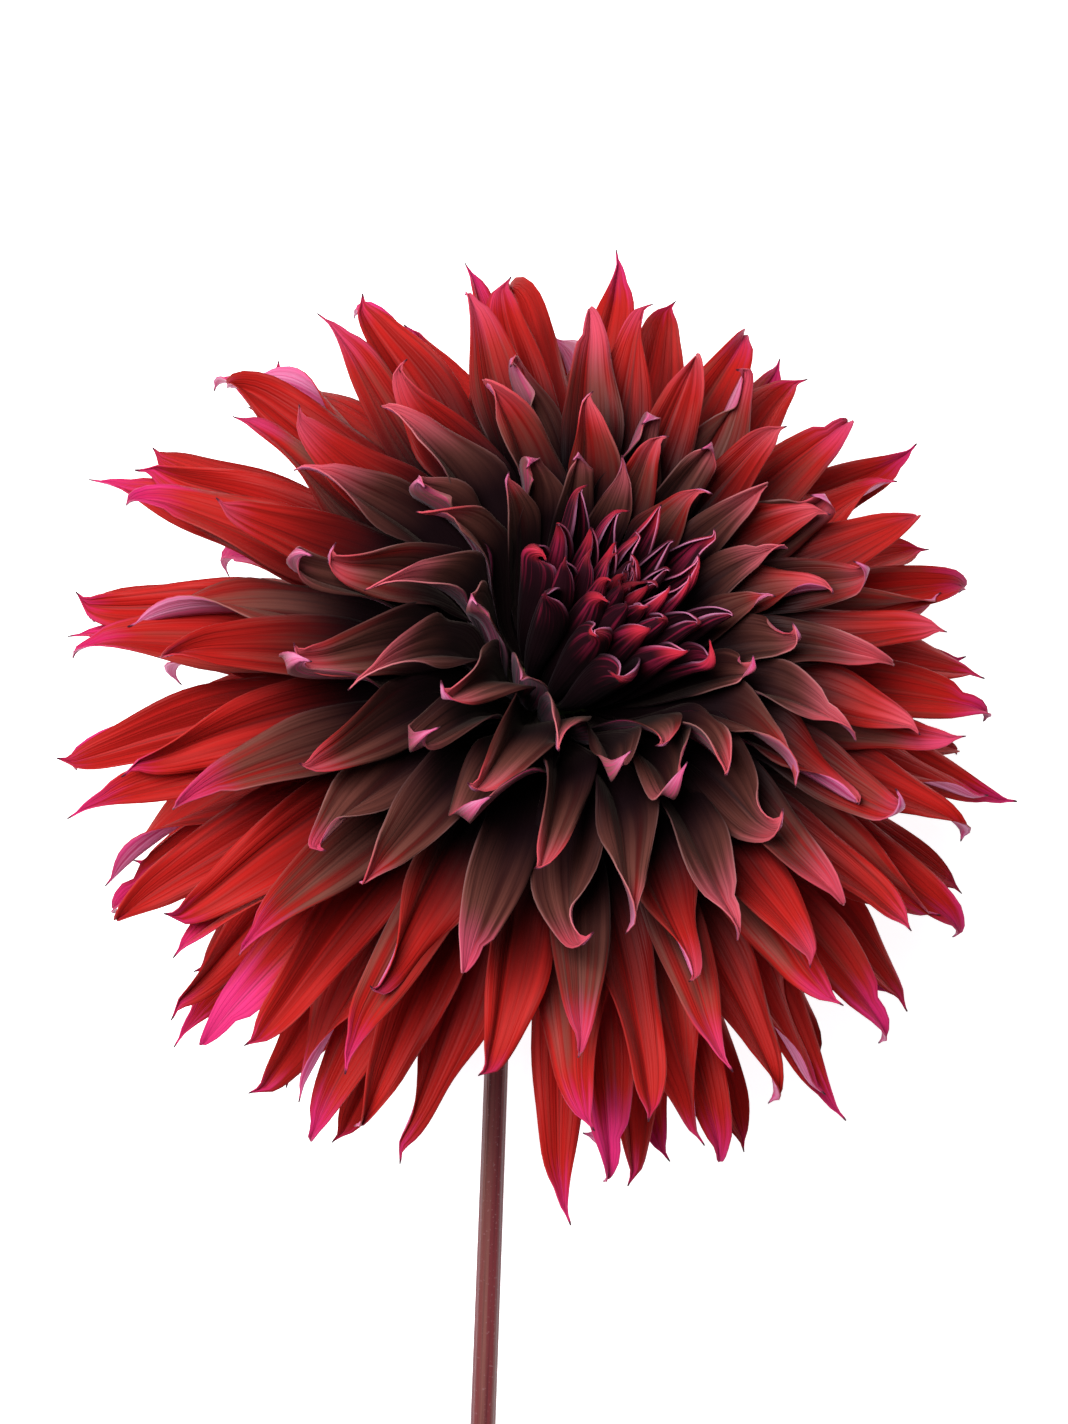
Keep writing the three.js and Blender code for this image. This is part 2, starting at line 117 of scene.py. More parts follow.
# How a floret changes with its age, from 0 in the heart to 1 at the back. Each row is the age,
# the length and width in mm, the lean at the root and at the tip, and how far the section curls
# up at the root, the middle and the tip, all in degrees.
STAGES = (
    (0.00, 29, 11.0, 0, -4, 150, 150, 160),
    (0.07, 33, 14.0, 22, -4, 150, 145, 160),
    (0.14, 40, 15.0, 36, 14, 135, 120, 140),
    (0.20, 49, 14.4, 42, 40, 110, 85, 95),
    (0.30, 63, 13.6, 46, 64, 98, 62, 80),
    (0.42, 79, 13.9, 54, 84, 92, 52, 66),
    (0.60, 93, 14.2, 76, 104, 88, 48, 58),
    (0.80, 96, 14.0, 102, 120, 88, 48, 58),
    (1.00, 92, 13.8, 134, 166, 88, 48, 58),
)

# How much the florets differ from the table, as in the solid model. A pair holds the closed and
# the open florets' measure; the ages say when they have opened.
OPEN_FROM = (0.1, 0.35)
SHORTER = (0.03, 0.045)
WIDER = 0.14
LEAN_CHANGE = (5, 13)
SWAY = (4, 18)
TWIST = (8, 26)
TWIST_FROM = 0.25
HOOK = radians(22)
HOOK_CHANGE = radians(34)
HOOK_START = 0.88
HOOK_POWER = 1.5
LEAN_POWER = 1.15

# Each draw's own number. The rule of the solid model has the first six.
DRAWS = {
    "length": 0, "width": 1, "lean": 2, "sway": 3, "twist": 4, "hook": 5,
    "left_full": 6, "right_full": 7, "skew": 8, "left_wave": 8, "right_wave": 10, "pinch": 11,
    "tone": 12, "left_dent": 12, "right_dent": 14, "dent_place": 15, "curled": 16, "curled_hook": 17,
    "left_blunt": 18, "right_blunt": 19, "sideways_tip": 20, "more_twist": 21, "brown": 22,
    "sideways_nib": 23,
}

# The first floret of each group, by the solid node that the group stands for
FIRST_FLORET = {"heart_buds": 0, "inner_petals": 40, "outer_petals": 110, "back_petals": 188}
GROUP_ORDER = tuple(FIRST_FLORET)

# The thin petals: how fine their grids are and how their outline and section change along them
PATH_STEPS = 60
PETAL_ROWS = 30
ROW_CROWDING = 1.4
FLANK_STEPS = 6
ROOT_RADII = (9.9, 12.0)
ROOT_WIDTHS = (0.35, 0.7)
FOLD_ANGLE = 0.62
BUDS_OPEN = (0.13, 0.2)
FOOT_WIDTH = 0.36
FULL_WIDTH_AT = 0.6
TAPER_TO = 0.98
TAPER = 0.5
BREADTH = 1.14
FULL_TO = (0.64, 0.76)
FULL_TO_CHANGE = 0.07
BLUNTNESS = 4.6
BLUNTNESS_CHANGE = 1.4
NIB_HALF_WIDTH = 0.42
NIB_POINT = 0.2
NIB_FROM = 0.985
DENT_FROM = 0.5
DENT_AT = 0.9
DENT_CHANGE = 0.03
DENT_LENGTH = 0.02
MIDDLE_CURLS = (0, 0.45)
TIP_CURLS = (0.7, 1)
PINCHED = (0.84, 0.97)
FOLD = (0.3, 0.95)
FOLD_SPAN = (0.55, 0.9)
PILLOW_BEGINS = (0.15, 0.45)
PILLOW_ENDS = (0.75, 1)
WAVE_SPAN = (0.3, 0.7)
WAVE_POWER = 3
WAVE_PHASE = 3 * pi
SIDEWAYS = (("sideways_tip", 3, (0.84, 1.04)), ("sideways_nib", 3, (0.955, 1.01)))

# Some tips roll up over the face, so that their pale reverse shows, and some bend back: from which
# draw on, in which ages, how far, and from where along the petal
ROLLED = {"draw": 0.2, "ages": (0.15, 0.44), "hook": (radians(105), radians(50)), "start": 0.76}
BENT_BACK = {"draw": -0.4, "ages": (0.2, 1.0), "hook": (radians(-70), radians(35)), "start": 0.84}

# How the florets keep clear of the next group, of the stem and of the table
GROUP_CLEARANCE = 1.2
BORDER_REACH = 1.4
SOFT_EDGE = radians(5)
STEM_PARTING = (radians(7.5), radians(18))
STEM_PARTING_REACH = radians(42)
STEM_PARTING_POLAR = (radians(80), radians(96))
STEM_WIDENING_POLAR = (radians(112), radians(135))
STEM_SEEN_ASIDE = radians(-14)
TABLE_CLEARANCE = 2
TABLE_PRESS = 3
TABLE_SKIN = 0.35
TABLE_SOFTNESS = 2.0

# The dark middle of the bloom, partly the inner petals' own brown and partly painted shade: its
# own axis, turned a little from the bloom's to stand nearly upright, and how far the brown
# reaches from it
DARK_TILT = radians(3)
DARK_TURN = radians(-60)
DARK_REACH = (38, 76)
DARK_MARK = 0.74
DARK_WHOLE = 0.55
DARK_CHANGE = 22


def smooth(low, high, value):
    """A smooth step from 0 at low to 1 at high."""
    share = np.clip((value - low) / (high - low), 0, 1)
    return share * share * (3 - 2 * share)


def pointing(tilt, turn):
    """A direction tilted from straight up, towards a turn from +Y."""
    flat = sin(tilt)
    return np.array([flat * sin(turn), flat * cos(turn), cos(tilt)])


def unit(vectors):
    return vectors / np.linalg.norm(vectors, axis=-1, keepdims=True)


UP = np.array([0.0, 0.0, 1.0])
AXIS = pointing(BLOOM_TILT, BLOOM_TURN)
SIDE = unit(np.cross(AXIS, UP))
RISE = np.cross(AXIS, SIDE)
DARK_AND_SHADE_AXIS = pointing(DARK_TILT, DARK_TURN)
NOD_WAY = pointing(pi / 2, BLOOM_TURN)


def bloom_centre():
    """The middle of the bloom in mm, which is the middle of the round receptacle."""
    low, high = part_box("receptacle")
    return np.array((low + high) / 2) / MM


CENTRE = bloom_centre()
FOOT = np.array([CENTRE[0], CENTRE[1], 0.0])


def draw(floret, trait):
    """A repeatable draw from -1 to 1 for one trait of one floret."""
    modulus = 2147483647
    state = (floret * 7919 + DRAWS[trait] * 104729 + 20011) % modulus
    for _ in range(3):
        state = (state * 48271) % modulus
    return 2 * state / modulus - 1


def between(ends, share):
    """The value at a share of the way from one end to the other."""
    return ends[0] + (ends[1] - ends[0]) * share


def stage_at(age):
    """The row of the table of stages at an age between its rows."""
    rows = np.array(STAGES, float)
    return [float(np.interp(age, rows[:, 0], rows[:, column])) for column in range(1, rows.shape[1])]


def polar_at(age):
    return acos(1 - (1 - cos(LAST_POLAR)) * age)


def stem_turn():
    """The turn of the stem round the bloom's axis."""
    down = np.array(STEM_BACK) + FOOT - CENTRE
    return atan2(down @ RISE, down @ SIDE)


STEM_TURN = stem_turn()


def from_stem(turn, widening):
    """The angle from the stem to a floret's turn. For the front florets that is the stem as it is
    seen from above."""
    away = turn - STEM_TURN - STEM_SEEN_ASIDE * (1 - widening)
    return (away + pi) % (2 * pi) - pi


def beside_stem(turn, polar):
    """A floret's turn after it has moved aside from the stem, and how close to the stem it is, from
    0 to 1. The florets beside the stem are straighter."""
    widening = float(smooth(*STEM_WIDENING_POLAR, polar))
    away = from_stem(turn, widening)
    if abs(away) > STEM_PARTING_REACH:
        return turn, 0.0
    share = float(smooth(*STEM_PARTING_POLAR, polar))
    parting = between(STEM_PARTING, widening)
    pushed = parting + abs(away) * (1 - parting / STEM_PARTING_REACH)
    near = 1 - float(smooth(0, STEM_PARTING_REACH, abs(away)))
    return turn + share * (copysign(pushed, away) - away), near * share


def floret_traits(floret):
    """Everything that the rule says about one floret."""
    age = (floret + 0.5) / FLORETS
    length, width, lean_root, lean_tip, *curl = stage_at(age)
    wild = float(smooth(*OPEN_FROM, age))
    polar = polar_at(age)
    turn, beside = beside_stem(FIRST_TURN + floret * GOLDEN_ANGLE, polar)
    length *= 1 - LOPSIDED * sin(turn)
    return {
        "floret": floret,
        "age": age,
        "polar": polar,
        "turn": turn,
        "length": length * (1 - between(SHORTER, wild) * (1 + draw(floret, "length"))),
        "width": width * (1 + WIDER * draw(floret, "width")),
        "lean": (radians(lean_root), radians(lean_tip + between(LEAN_CHANGE, wild) * draw(floret, "lean"))),
        "sway": radians(between(SWAY, wild) * draw(floret, "sway")) * (1 - beside),
        "twist": radians(between(TWIST, wild) * draw(floret, "twist")),
        "wild": wild,
        "hook": HOOK + HOOK_CHANGE * draw(floret, "hook"),
        "curl": [radians(angle) for angle in curl],
    }


def floret_path(traits):
    """The middle line of a floret round an upright axis: its points, the directions across it
    and the directions that its face looks in. Its hook starts where its traits say, if they do."""
    turn = traits["turn"]
    out = np.array([cos(turn), sin(turn), 0.0])
    sideways = np.cross(UP, out)
    along = np.arange(PATH_STEPS + 1) / PATH_STEPS
    start = traits.get("hook_start", HOOK_START)
    hook = traits["hook"] * np.maximum(0, (along - start) / (1 - start)) ** HOOK_POWER
    root_lean, tip_lean = traits["lean"]
    lean = (root_lean + (tip_lean - root_lean) * along**LEAN_POWER - hook)[:, None]
    sway = (traits["sway"] * along**2)[:, None]
    ahead = np.cos(sway) * (np.sin(lean) * out + np.cos(lean) * UP) + np.sin(sway) * sideways
    inward = np.sin(lean) * UP - np.cos(lean) * out
    across = unit(np.cross(ahead, inward))
    inward = np.cross(across, ahead)
    twist = (traits["twist"] * smooth(TWIST_FROM, 1, along))[:, None]
    base = FLORET_BASE_RADIUS * (sin(traits["polar"]) * out + cos(traits["polar"]) * UP)
    steps = ahead[:-1] * traits["length"] / PATH_STEPS
    points = base + np.vstack([np.zeros(3), np.cumsum(steps, axis=0)])
    return (
        points,
        np.cos(twist) * across + np.sin(twist) * inward,
        np.cos(twist) * inward - np.sin(twist) * across,
    )


def border_of(first_floret):
    """The smooth surface before a group: its radii and the polar angle at each of them. It reaches
    past the longest petals."""
    age = first_floret / FLORETS
    length, _, lean_root, lean_tip, *_ = stage_at(age)
    points, _, _ = floret_path({
        "polar": polar_at(age), "turn": 0.0, "length": length * BORDER_REACH,
        "lean": (radians(lean_root), radians(lean_tip)), "sway": 0, "twist": 0, "hook": 0,
    })
    radii = np.linalg.norm(points, axis=1)
    return radii, np.arccos(points[:, 2] / radii)


def group_zone(name):
    """The borders before and after a group, or None at the heart and at the back."""
    place = GROUP_ORDER.index(name)
    before = border_of(FIRST_FLORET[name]) if place else None
    last = place == len(GROUP_ORDER) - 1
    after = None if last else border_of(FIRST_FLORET[GROUP_ORDER[place + 1]])
    return before, after


def group_florets(name):
    place = GROUP_ORDER.index(name)
    ends = [*FIRST_FLORET.values(), FLORETS]
    return range(ends[place], ends[place + 1])


def eased_past(polar, limit):
    """Eases polar angles so that they stay past a limit, without a crease."""
    soft = limit + SOFT_EDGE
    eased = limit + SOFT_EDGE * np.exp((np.minimum(polar, soft) - soft) / SOFT_EDGE)
    return np.where(polar > soft, polar, eased)


def held_between(points, zone):
    """Keeps the points of one group between the borders before and after it."""
    before, after = zone
    radius = np.linalg.norm(points, axis=-1)
    polar = np.arccos(np.clip(points[..., 2] / radius, -1, 1))
    turn = np.arctan2(points[..., 1], points[..., 0])
    clearance = GROUP_CLEARANCE / radius
    if before:
        polar = eased_past(polar, np.interp(radius, *before) + clearance)
    if after:
        polar = -eased_past(-polar, clearance - np.interp(radius, *after))
    flat = radius * np.sin(polar)
    return np.stack([flat * np.cos(turn), flat * np.sin(turn), radius * np.cos(polar)], axis=-1)


def placed(points):
    """Takes points from the upright axis to the bloom as it lies: its heart nods further over and
    its rim sags."""
    radius = np.linalg.norm(points, axis=-1, keepdims=True)
    spread = np.linalg.norm(points[..., :2], axis=-1, keepdims=True)
    nod = NOD * smooth(*NOD_HEIGHT, points[..., 2:]) * (1 - smooth(*NOD_SPREAD, spread))
    lying = points[..., :1] * SIDE + points[..., 1:2] * RISE + points[..., 2:] * AXIS
    lying += nod * NOD_WAY
    lying[..., 1:2] -= SAG * radius * (radius / SAG_RADIUS) ** SAG_POWER
    return unit(lying) * radius + CENTRE


def above_table(points):
    """Bends what would reach into the table along its surface."""
    bent = points.copy()
    height = bent[..., 2] - TABLE_SKIN
    soft = TABLE_SOFTNESS * np.exp(np.minimum(height - TABLE_SOFTNESS, 0) / TABLE_SOFTNESS)
    bent[..., 2] = TABLE_SKIN + np.where(height > TABLE_SOFTNESS, height, soft)
    return bent


def fitted_to_table(traits, depth):
    """Shortens a floret that would reach past the table."""
    points = placed(floret_path(traits)[0])
    root, tip = points[0, 2], points[-1, 2]
    if tip < depth:
        traits["length"] *= (root - depth) / (root - tip)
    return traits


def half_width(width, along, full_to, bluntness):
    """Half the width of a petal along it: widest past its middle, with a blunt end and a nib."""
    widened = between((FOOT_WIDTH, 1), smooth(0, FULL_WIDTH_AT, along))
    body = BREADTH * widened * (1 - TAPER * smooth(FULL_WIDTH_AT, TAPER_TO, along))
    end = np.clip((along - full_to) / (NIB_FROM - full_to), 0, 1)
    nib = NIB_HALF_WIDTH * between((1, NIB_POINT), smooth(NIB_FROM, 1, along))
    return np.maximum(nib, width / 2 * body * (1 - end**bluntness))


def resampled(values, places):
    """Values that are even along a petal, at other places along it."""
    even = np.linspace(0, 1, len(values))
    return np.stack([np.interp(places, even, values[:, i]) for i in range(values.shape[1])], axis=1)


def section(half, curl, fold):
    """One flank of each row from the keel to the edge: how far aside and how far up. The fold
    turns a round section into a V."""
    middles = (np.arange(FLANK_STEPS) + 0.5) / FLANK_STEPS
    angles = curl[:, None] * ((1 - fold[:, None]) * middles + fold[:, None] * FOLD_ANGLE)
    start = np.zeros((len(half), 1))
    step = half[:, None] / FLANK_STEPS
    aside = np.hstack([start, np.cumsum(np.cos(angles) * step, axis=1)])
    raised = np.hstack([start, np.cumsum(np.sin(angles) * step, axis=1)])
    return aside, raised


def curled_tip(traits):
    """Rolls or bends the tip of some petals, by a draw of their own."""
    chance = draw(traits["floret"], "curled")
    for kind, chosen in ((ROLLED, chance > ROLLED["draw"]), (BENT_BACK, chance < BENT_BACK["draw"])):
        youngest, oldest = kind["ages"]
        if chosen and youngest < traits["age"] < oldest:
            least, more = kind["hook"]
            traits["hook"] = least + more * draw(traits["floret"], "curled_hook")
            traits["hook_start"] = kind["start"]


def petal_line(traits):
    """The middle line of a thin petal from inside the bloom to its nib: its points, the directions
    across it and of its face, how far along each row is, and how narrow the root makes it."""
    places = 1 - np.linspace(1, 0, PETAL_ROWS + 1) ** ROW_CROWDING
    points, across, facing = [resampled(values, places) for values in floret_path(traits)]
    for trait, reach, span in SIDEWAYS:
        points += across * (reach * draw(traits["floret"], trait) * smooth(*span, places))[:, None]
    roots = np.array([unit(points[0]) * radius for radius in ROOT_RADII])
    return (
        np.vstack([roots, points]),
        unit(np.vstack([across[:1]] * len(roots) + [across])),
        unit(np.vstack([facing[:1]] * len(roots) + [facing])),
        np.concatenate([np.zeros(len(roots)), places]),
        np.concatenate([np.linspace(*ROOT_WIDTHS, len(roots)), np.ones(PETAL_ROWS + 1)]),
    )


def petal_curl(traits, along, open_share, shape):
    """How far the section of each row curls up, and how much of that is a fold at the keel."""
    root, middle, tip = traits["curl"]
    pinch = open_share * shape.pinch * max(0.0, draw(traits["floret"], "pinch"))
    curl = between((root, middle), smooth(*MIDDLE_CURLS, along))
    curl = curl + (tip - middle) * smooth(*TIP_CURLS, along) + pinch * smooth(*PINCHED, along)
    return curl, open_share * between(FOLD, smooth(*FOLD_SPAN, along))


def petal_flank(traits, side, rows, open_share, shape):
    """One half of a petal: how far aside and how far up each point is from the keel."""
    floret = traits["floret"]
    along, narrow, curl, fold = rows
    sign = {"left": -1, "right": 1}[side]
    full_to = between(FULL_TO, open_share) + FULL_TO_CHANGE * draw(floret, side + "_full")
    bluntness = BLUNTNESS + BLUNTNESS_CHANGE * draw(floret, side + "_blunt")
    half = half_width(traits["width"], along, full_to, bluntness)
    half *= narrow * (1 + sign * shape.skew * draw(floret, "skew"))
    dent = max(0.0, draw(floret, side + "_dent") - DENT_FROM) * open_share
    dent_at = DENT_AT + DENT_CHANGE * draw(floret, "dent_place")
    half *= 1 - dent * np.exp(-(((along - dent_at) / DENT_LENGTH) ** 2))
    aside, raised = section(half, curl, fold)
    share = np.arange(FLANK_STEPS + 1) / FLANK_STEPS
    body = smooth(*PILLOW_BEGINS, along) * (1 - smooth(*PILLOW_ENDS, along))
    raised += shape.pillow * open_share * (half * body)[:, None] * np.sin(pi * share)
    waves = np.sin(2 * pi * shape.wave_count * along + WAVE_PHASE * draw(floret, side + "_wave"))
    waves = waves * smooth(*WAVE_SPAN, along) * open_share
    raised += shape.wave * (half * waves)[:, None] * share**WAVE_POWER
    return sign * aside, raised


def petal_surface(traits, zone, shape):
    """The points of a petal's face, as rows from root to tip and columns from edge to edge, and
    how far along the petal each row is."""
    curled_tip(traits)
    traits["twist"] *= 1 + traits["wild"] * shape.twist * draw(traits["floret"], "more_twist") ** 2
    points, across, facing, along, narrow = petal_line(traits)
    open_share = float(smooth(*BUDS_OPEN, traits["age"]))
    rows = (along, narrow, *petal_curl(traits, along, open_share, shape))
    left, right = [petal_flank(traits, side, rows, open_share, shape) for side in ("left", "right")]
    flat = np.hstack([left[0][:, :0:-1], right[0]])
    deep = np.hstack([left[1][:, :0:-1], right[1]])
    aside = flat[..., None] * across[:, None, :]
    surface = points[:, None, :] + aside + deep[..., None] * facing[:, None, :]
    return above_table(placed(held_between(surface, zone))), along


def brown_and_shade(floret, surface, along):
    """How brown each row of a petal is, from 1 in the dark middle of the bloom to 0; the brown is
    partly the inner petals' own colour and partly painted shade. A petal is coloured as a whole by
    its place, and fades a little more towards its tip."""
    middle = surface[:, FLANK_STEPS] - CENTRE
    last = int(np.searchsorted(along, DARK_MARK))
    middle[last:] = middle[last]
    from_axis = np.linalg.norm(middle - (middle @ DARK_AND_SHADE_AXIS)[:, None] * DARK_AND_SHADE_AXIS, axis=1)
    whole = from_axis[last] + DARK_CHANGE * draw(floret, "brown")
    return 1 - smooth(*DARK_REACH, DARK_WHOLE * whole + (1 - DARK_WHOLE) * from_axis)


class PetalMesh:
    """A mesh of many petals, each a grid that is bent to its surface."""

    def __init__(self):
        self.bm = bmesh.new()
        self.uv = self.bm.loops.layers.uv.new("petal")
        self.values = {name: self.bm.verts.layers.float.new(name) for name in ("brown", "tone", "age")}

    def add(self, surface, along, values):
        """Adds one petal. Each value is a number, or one for each row."""
        rows, columns = surface.shape[0] - 1, surface.shape[1] - 1
        grid = bmesh.ops.create_grid(self.bm, x_segments=columns, y_segments=rows, size=1, calc_uvs=True)
        for vert in grid["verts"]:
            column = round((vert.co.x + 1) / 2 * columns)
            row = round((vert.co.y + 1) / 2 * rows)
            for name, value in values.items():
                vert[self.values[name]] = float(value[row]) if np.ndim(value) else float(value)
            vert.co = Vector(surface[row, column]) * MM
            for loop in vert.link_loops:
                loop[self.uv].uv = (column / columns, along[row])

    def finish(self, name, materials, thickness):
        """Turns the petals into one piece with a wall and a reverse."""
        for face in self.bm.faces:
            face.smooth = True
        piece = piece_of(self.bm, name, materials)
        wall = piece.modifiers.new("wall", "SOLIDIFY")
        wall.thickness = thickness
        wall.offset = 0
        wall.use_quality_normals = True
        wall.material_offset = 1
        return piece


def new_object(name, data):
    """A new object at the origin, in the scene."""
    made = bpy.data.objects.new(name, data)
    bpy.context.scene.collection.objects.link(made)
    return made


def piece_of(bm, name, materials):
    """A new object from a bmesh, with its materials."""
    mesh = bpy.data.meshes.new(name)
    bm.to_mesh(mesh)
    bm.free()
    for material in materials:
        mesh.materials.append(material)
    return new_object(name, mesh)


def settle(piece, node):
    """Puts a finished piece in the place of a solid node."""
    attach(piece, BODY)
    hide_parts(node)


# The mix node's sockets for colours
MIX_COLOURS = (6, 7)
MIX_RESULT = 2


class Finish:
    """A node-based material while it is made: its colour so far, and short calls for its nodes."""

    def __init__(self, name, colour):
        self.material = bpy.data.materials.new(name)
        self.material.use_nodes = True
        self.tree = self.material.node_tree
        self.tree.nodes.clear()
        self.colour = colour

    def node(self, kind, inputs=None, **settings):
        made = self.tree.nodes.new(kind)
        for name, value in settings.items():
            setattr(made, name, value)
        for key, value in (inputs or {}).items():
            self.feed(made.inputs[key], value)
        return made

    def feed(self, socket, value):
        if isinstance(value, NodeSocket):
            self.tree.links.new(value, socket)
        else:
            socket.default_value = value

    def place(self):
        return self.node("ShaderNodeTexCoord").outputs["Object"]

    def uv(self, layer):
        """How far across and along its piece a point is."""
        split = self.node("ShaderNodeSeparateXYZ", {0: self.node("ShaderNodeUVMap", uv_map=layer).outputs[0]})
        return split.outputs[0], split.outputs[1]

    def attribute(self, name):
        return self.node("ShaderNodeAttribute", attribute_name=name).outputs["Fac"]

    def math(self, operation, first, second=0.0):
        return self.node("ShaderNodeMath", {0: first, 1: second}, operation=operation).outputs[0]

    def sum(self, total, *values):
        for value in values:
            total = self.math("ADD", total, value)
        return total

    def product(self, total, *values):
        for value in values:
            total = self.math("MULTIPLY", total, value)
        return total

    def step(self, value, low, high, start=0.0, end=1.0):
        """A smooth step of a value from start at low to end at high."""
        inputs = {"Value": value, "From Min": low, "From Max": high, "To Min": start, "To Max": end}
        return self.node("ShaderNodeMapRange", inputs, interpolation_type="SMOOTHSTEP").outputs[0]

    def fade(self, value, low, high, start=1.0):
        """A smooth step of a value from start at low to nothing at high."""
        return self.step(value, low, high, start, 0.0)

    def noise(self, vector, scale, detail, distortion=0.0):
        inputs = {"Vector": vector, "Scale": scale, "Detail": detail, "Distortion": distortion}
        return self.node("ShaderNodeTexNoise", inputs).outputs[0]

    def combine(self, x=0.0, y=0.0, z=0.0):
        return self.node("ShaderNodeCombineXYZ", {0: x, 1: y, 2: z}).outputs[0]

    def mix(self, factor, first, second):
        """The first colour where the factor is 0, and the second where it is 1."""
        made = self.node("ShaderNodeMix", {0: factor}, data_type="RGBA")
        for place, value in zip(MIX_COLOURS, (first, second)):
            self.feed(made.inputs[place], value if isinstance(value, NodeSocket) else rgba(value))
        return made.outputs[MIX_RESULT]

    def cover(self, amount, colour):
        """Lays a colour over the one so far, as much as the amount says."""
        self.colour = self.mix(amount, self.colour, colour)

    def bump(self, height, distance, strength):
        inputs = {"Height": height, "Distance": distance, "Strength": strength}
        return self.node("ShaderNodeBump", inputs).outputs[0]

    def close(self, shader):
        self.node("ShaderNodeOutputMaterial", {"Surface": shader})
        return self.material

    def leaf(self, normal, roughness, sheen, through):
        """Ends as a soft thin surface that also lets some light through. The sheen is its weight
        and tint."""
        weight, tint = sheen
        skin = self.node("ShaderNodeBsdfPrincipled", {
            "Base Color": self.colour, "Normal": normal, "Roughness": roughness, "Sheen Weight": weight,
            "Sheen Roughness": 0.4, "Sheen Tint": rgba(tint), "Specular IOR Level": 0.07,
        })
        glow = self.node("ShaderNodeBsdfTranslucent", {"Color": self.colour, "Normal": normal})
        mixed = self.node("ShaderNodeMixShader", {0: through, 1: skin.outputs[0], 2: glow.outputs[0]})
        return self.close(mixed.outputs[0])


def rgba(colour):
    return (*colour[:3], 1.0)


# How many streaks and veins a petal has across it and along it, its lengthwise ridges, and how
# far its own tone shifts them
STREAKS = (7.0, 1.1)
FACE_VEINS = (34.0, 1.6)
REVERSE_VEINS = (26.0, 1.6)
BUD_VEINS = (20.0, 1.6)
RIDGES = 4.0
RIDGE_BEND = 0.5
RIDGE_SHIFT = 0.25
TONE_SHIFT = 41.0

# Where the colours change along a petal, from 0 at its root to 1 at its nib, across it, from 0 at
# its keel to 1 at its edge, and with its age
# Painted light and shade along a petal: deep red towards the root, lighter red towards the tip.
PAINTED_LIGHT_ALONG = (0.4, 0.95)
BROWN_FADES = (0.78, 1.0)
PINK_ENDS = 1.02
# Painted shade: the next three spans turn a face, a reverse and a bud nearly black up from the root.
FACE_ROOT_SHADE = (0.24, 0.66)
REVERSE_ROOT_SHADE = (0.15, 0.6)
BUD_ROOT_SHADE = (0.56, 0.95)
NIB_MARK = (0.985, 0.996)
KEEL_LINE = (0.0, 0.07)
RIDGE_LINE = (0.0, 0.2)
# Painted highlight along a petal's edges.
EDGE_HIGHLIGHT = (0.94, 1.0)
# Pale bud edges, partly their own paler margins and partly painted highlight.
BUD_EDGE_AND_HIGHLIGHT = (0.88, 0.98)
TIP_AGES = (0.3, 0.55)
OUTER_AGES = (0.3, 0.7)
FLUSHED_AGES = (0.5, 0.8)
# Painted shade: the youngest buds, deep in the bloom's eye, turn nearly black.
EYE_SHADE_AGES = (0.0, 0.05)


class PetalFinish(Finish):
    """A petal's material, with what its pattern starts from: how far along and across the petal a
    point is, the petal's own values, its lengthwise streaks, its fine veins and its ridges."""

    def __init__(self, name, colour, veins):
        super().__init__(name, colour)
        u, self.v = self.uv("petal")
        self.brown, self.tone, self.age = [self.attribute(value) for value in ("brown", "tone", "age")]
        self.streaks = self.grain(u, STREAKS, 4.0, 0.3)
        self.veins = self.grain(u, veins, 2.0)
        self.edge = self.math("ABSOLUTE", self.math("SUBTRACT", self.product(u, 2.0), 1.0))
        bent = self.sum(self.product(self.edge, RIDGES), self.product(self.streaks, RIDGE_BEND), RIDGE_SHIFT)
        self.ridge = self.math("PINGPONG", bent, 0.5)

    def grain(self, u, lines, detail, distortion=0.0):
        """Noise that is drawn out along the petal, another on each one."""
        across, along = lines
        shift = self.product(self.tone, TONE_SHIFT)
        place = self.combine(self.sum(self.product(u, across), shift), self.product(self.v, along), shift)
        return self.noise(place, 1.0, detail, distortion)


def face_ground(face, colours):
    """Colours a petal's face by its place in the bloom, red or brown with lighter streaks, with
    painted light that makes the red lighter towards the tip and painted shade that keeps it deep
    red towards the root, and tells how far the ragged brown reaches at each point."""
    # Painted light and shade: the red lightens towards the tip and stays deep red towards the root.
    streaks_and_painted_light = face.sum(face.streaks, face.product(face.tone, 0.12), face.step(face.v, *PAINTED_LIGHT_ALONG, -0.15, 0.2))
    face.cover(face.step(streaks_and_painted_light, 0.3, 0.7, 0.22, 0.88), colours.red)
    brown = face.mix(face.step(face.streaks, 0.32, 0.68), colours.deep_brown, colours.brown)
    torn = face.step(face.streaks, 0.25, 0.75, -0.28, 0.28)
    ragged = face.sum(face.brown, torn, face.product(face.tone, 0.18))
    reach = face.math("SUBTRACT", ragged, face.step(face.v, *BROWN_FADES, 0.0, 0.75))
    face.cover(face.step(reach, 0.05, 0.85), brown)
    return reach


def face_tip(face, colours):
    """Adds the tip's pink, which on the inner petals is partly painted highlight and on the outer
    petals is magenta. On a few of those it comes further down."""
    flushed = face.product(face.step(face.tone, 0.6, 0.84, 0.0, 0.14), face.step(face.age, *FLUSHED_AGES))
    torn = face.step(face.streaks, 0.2, 0.8, -0.05, 0.05)
    place = face.sum(face.v, face.product(face.tone, 0.06), torn, flushed)
    begins = face.step(face.age, *TIP_AGES, 0.75, 0.88)
    amount = face.product(face.step(place, begins, PINK_ENDS), face.step(face.age, *OUTER_AGES, 0.75, 0.95))
    # On the inner petals this pink is partly painted highlight.
    face.cover(amount, face.mix(face.step(face.age, *TIP_AGES), colours.blush_and_highlight, colours.magenta))


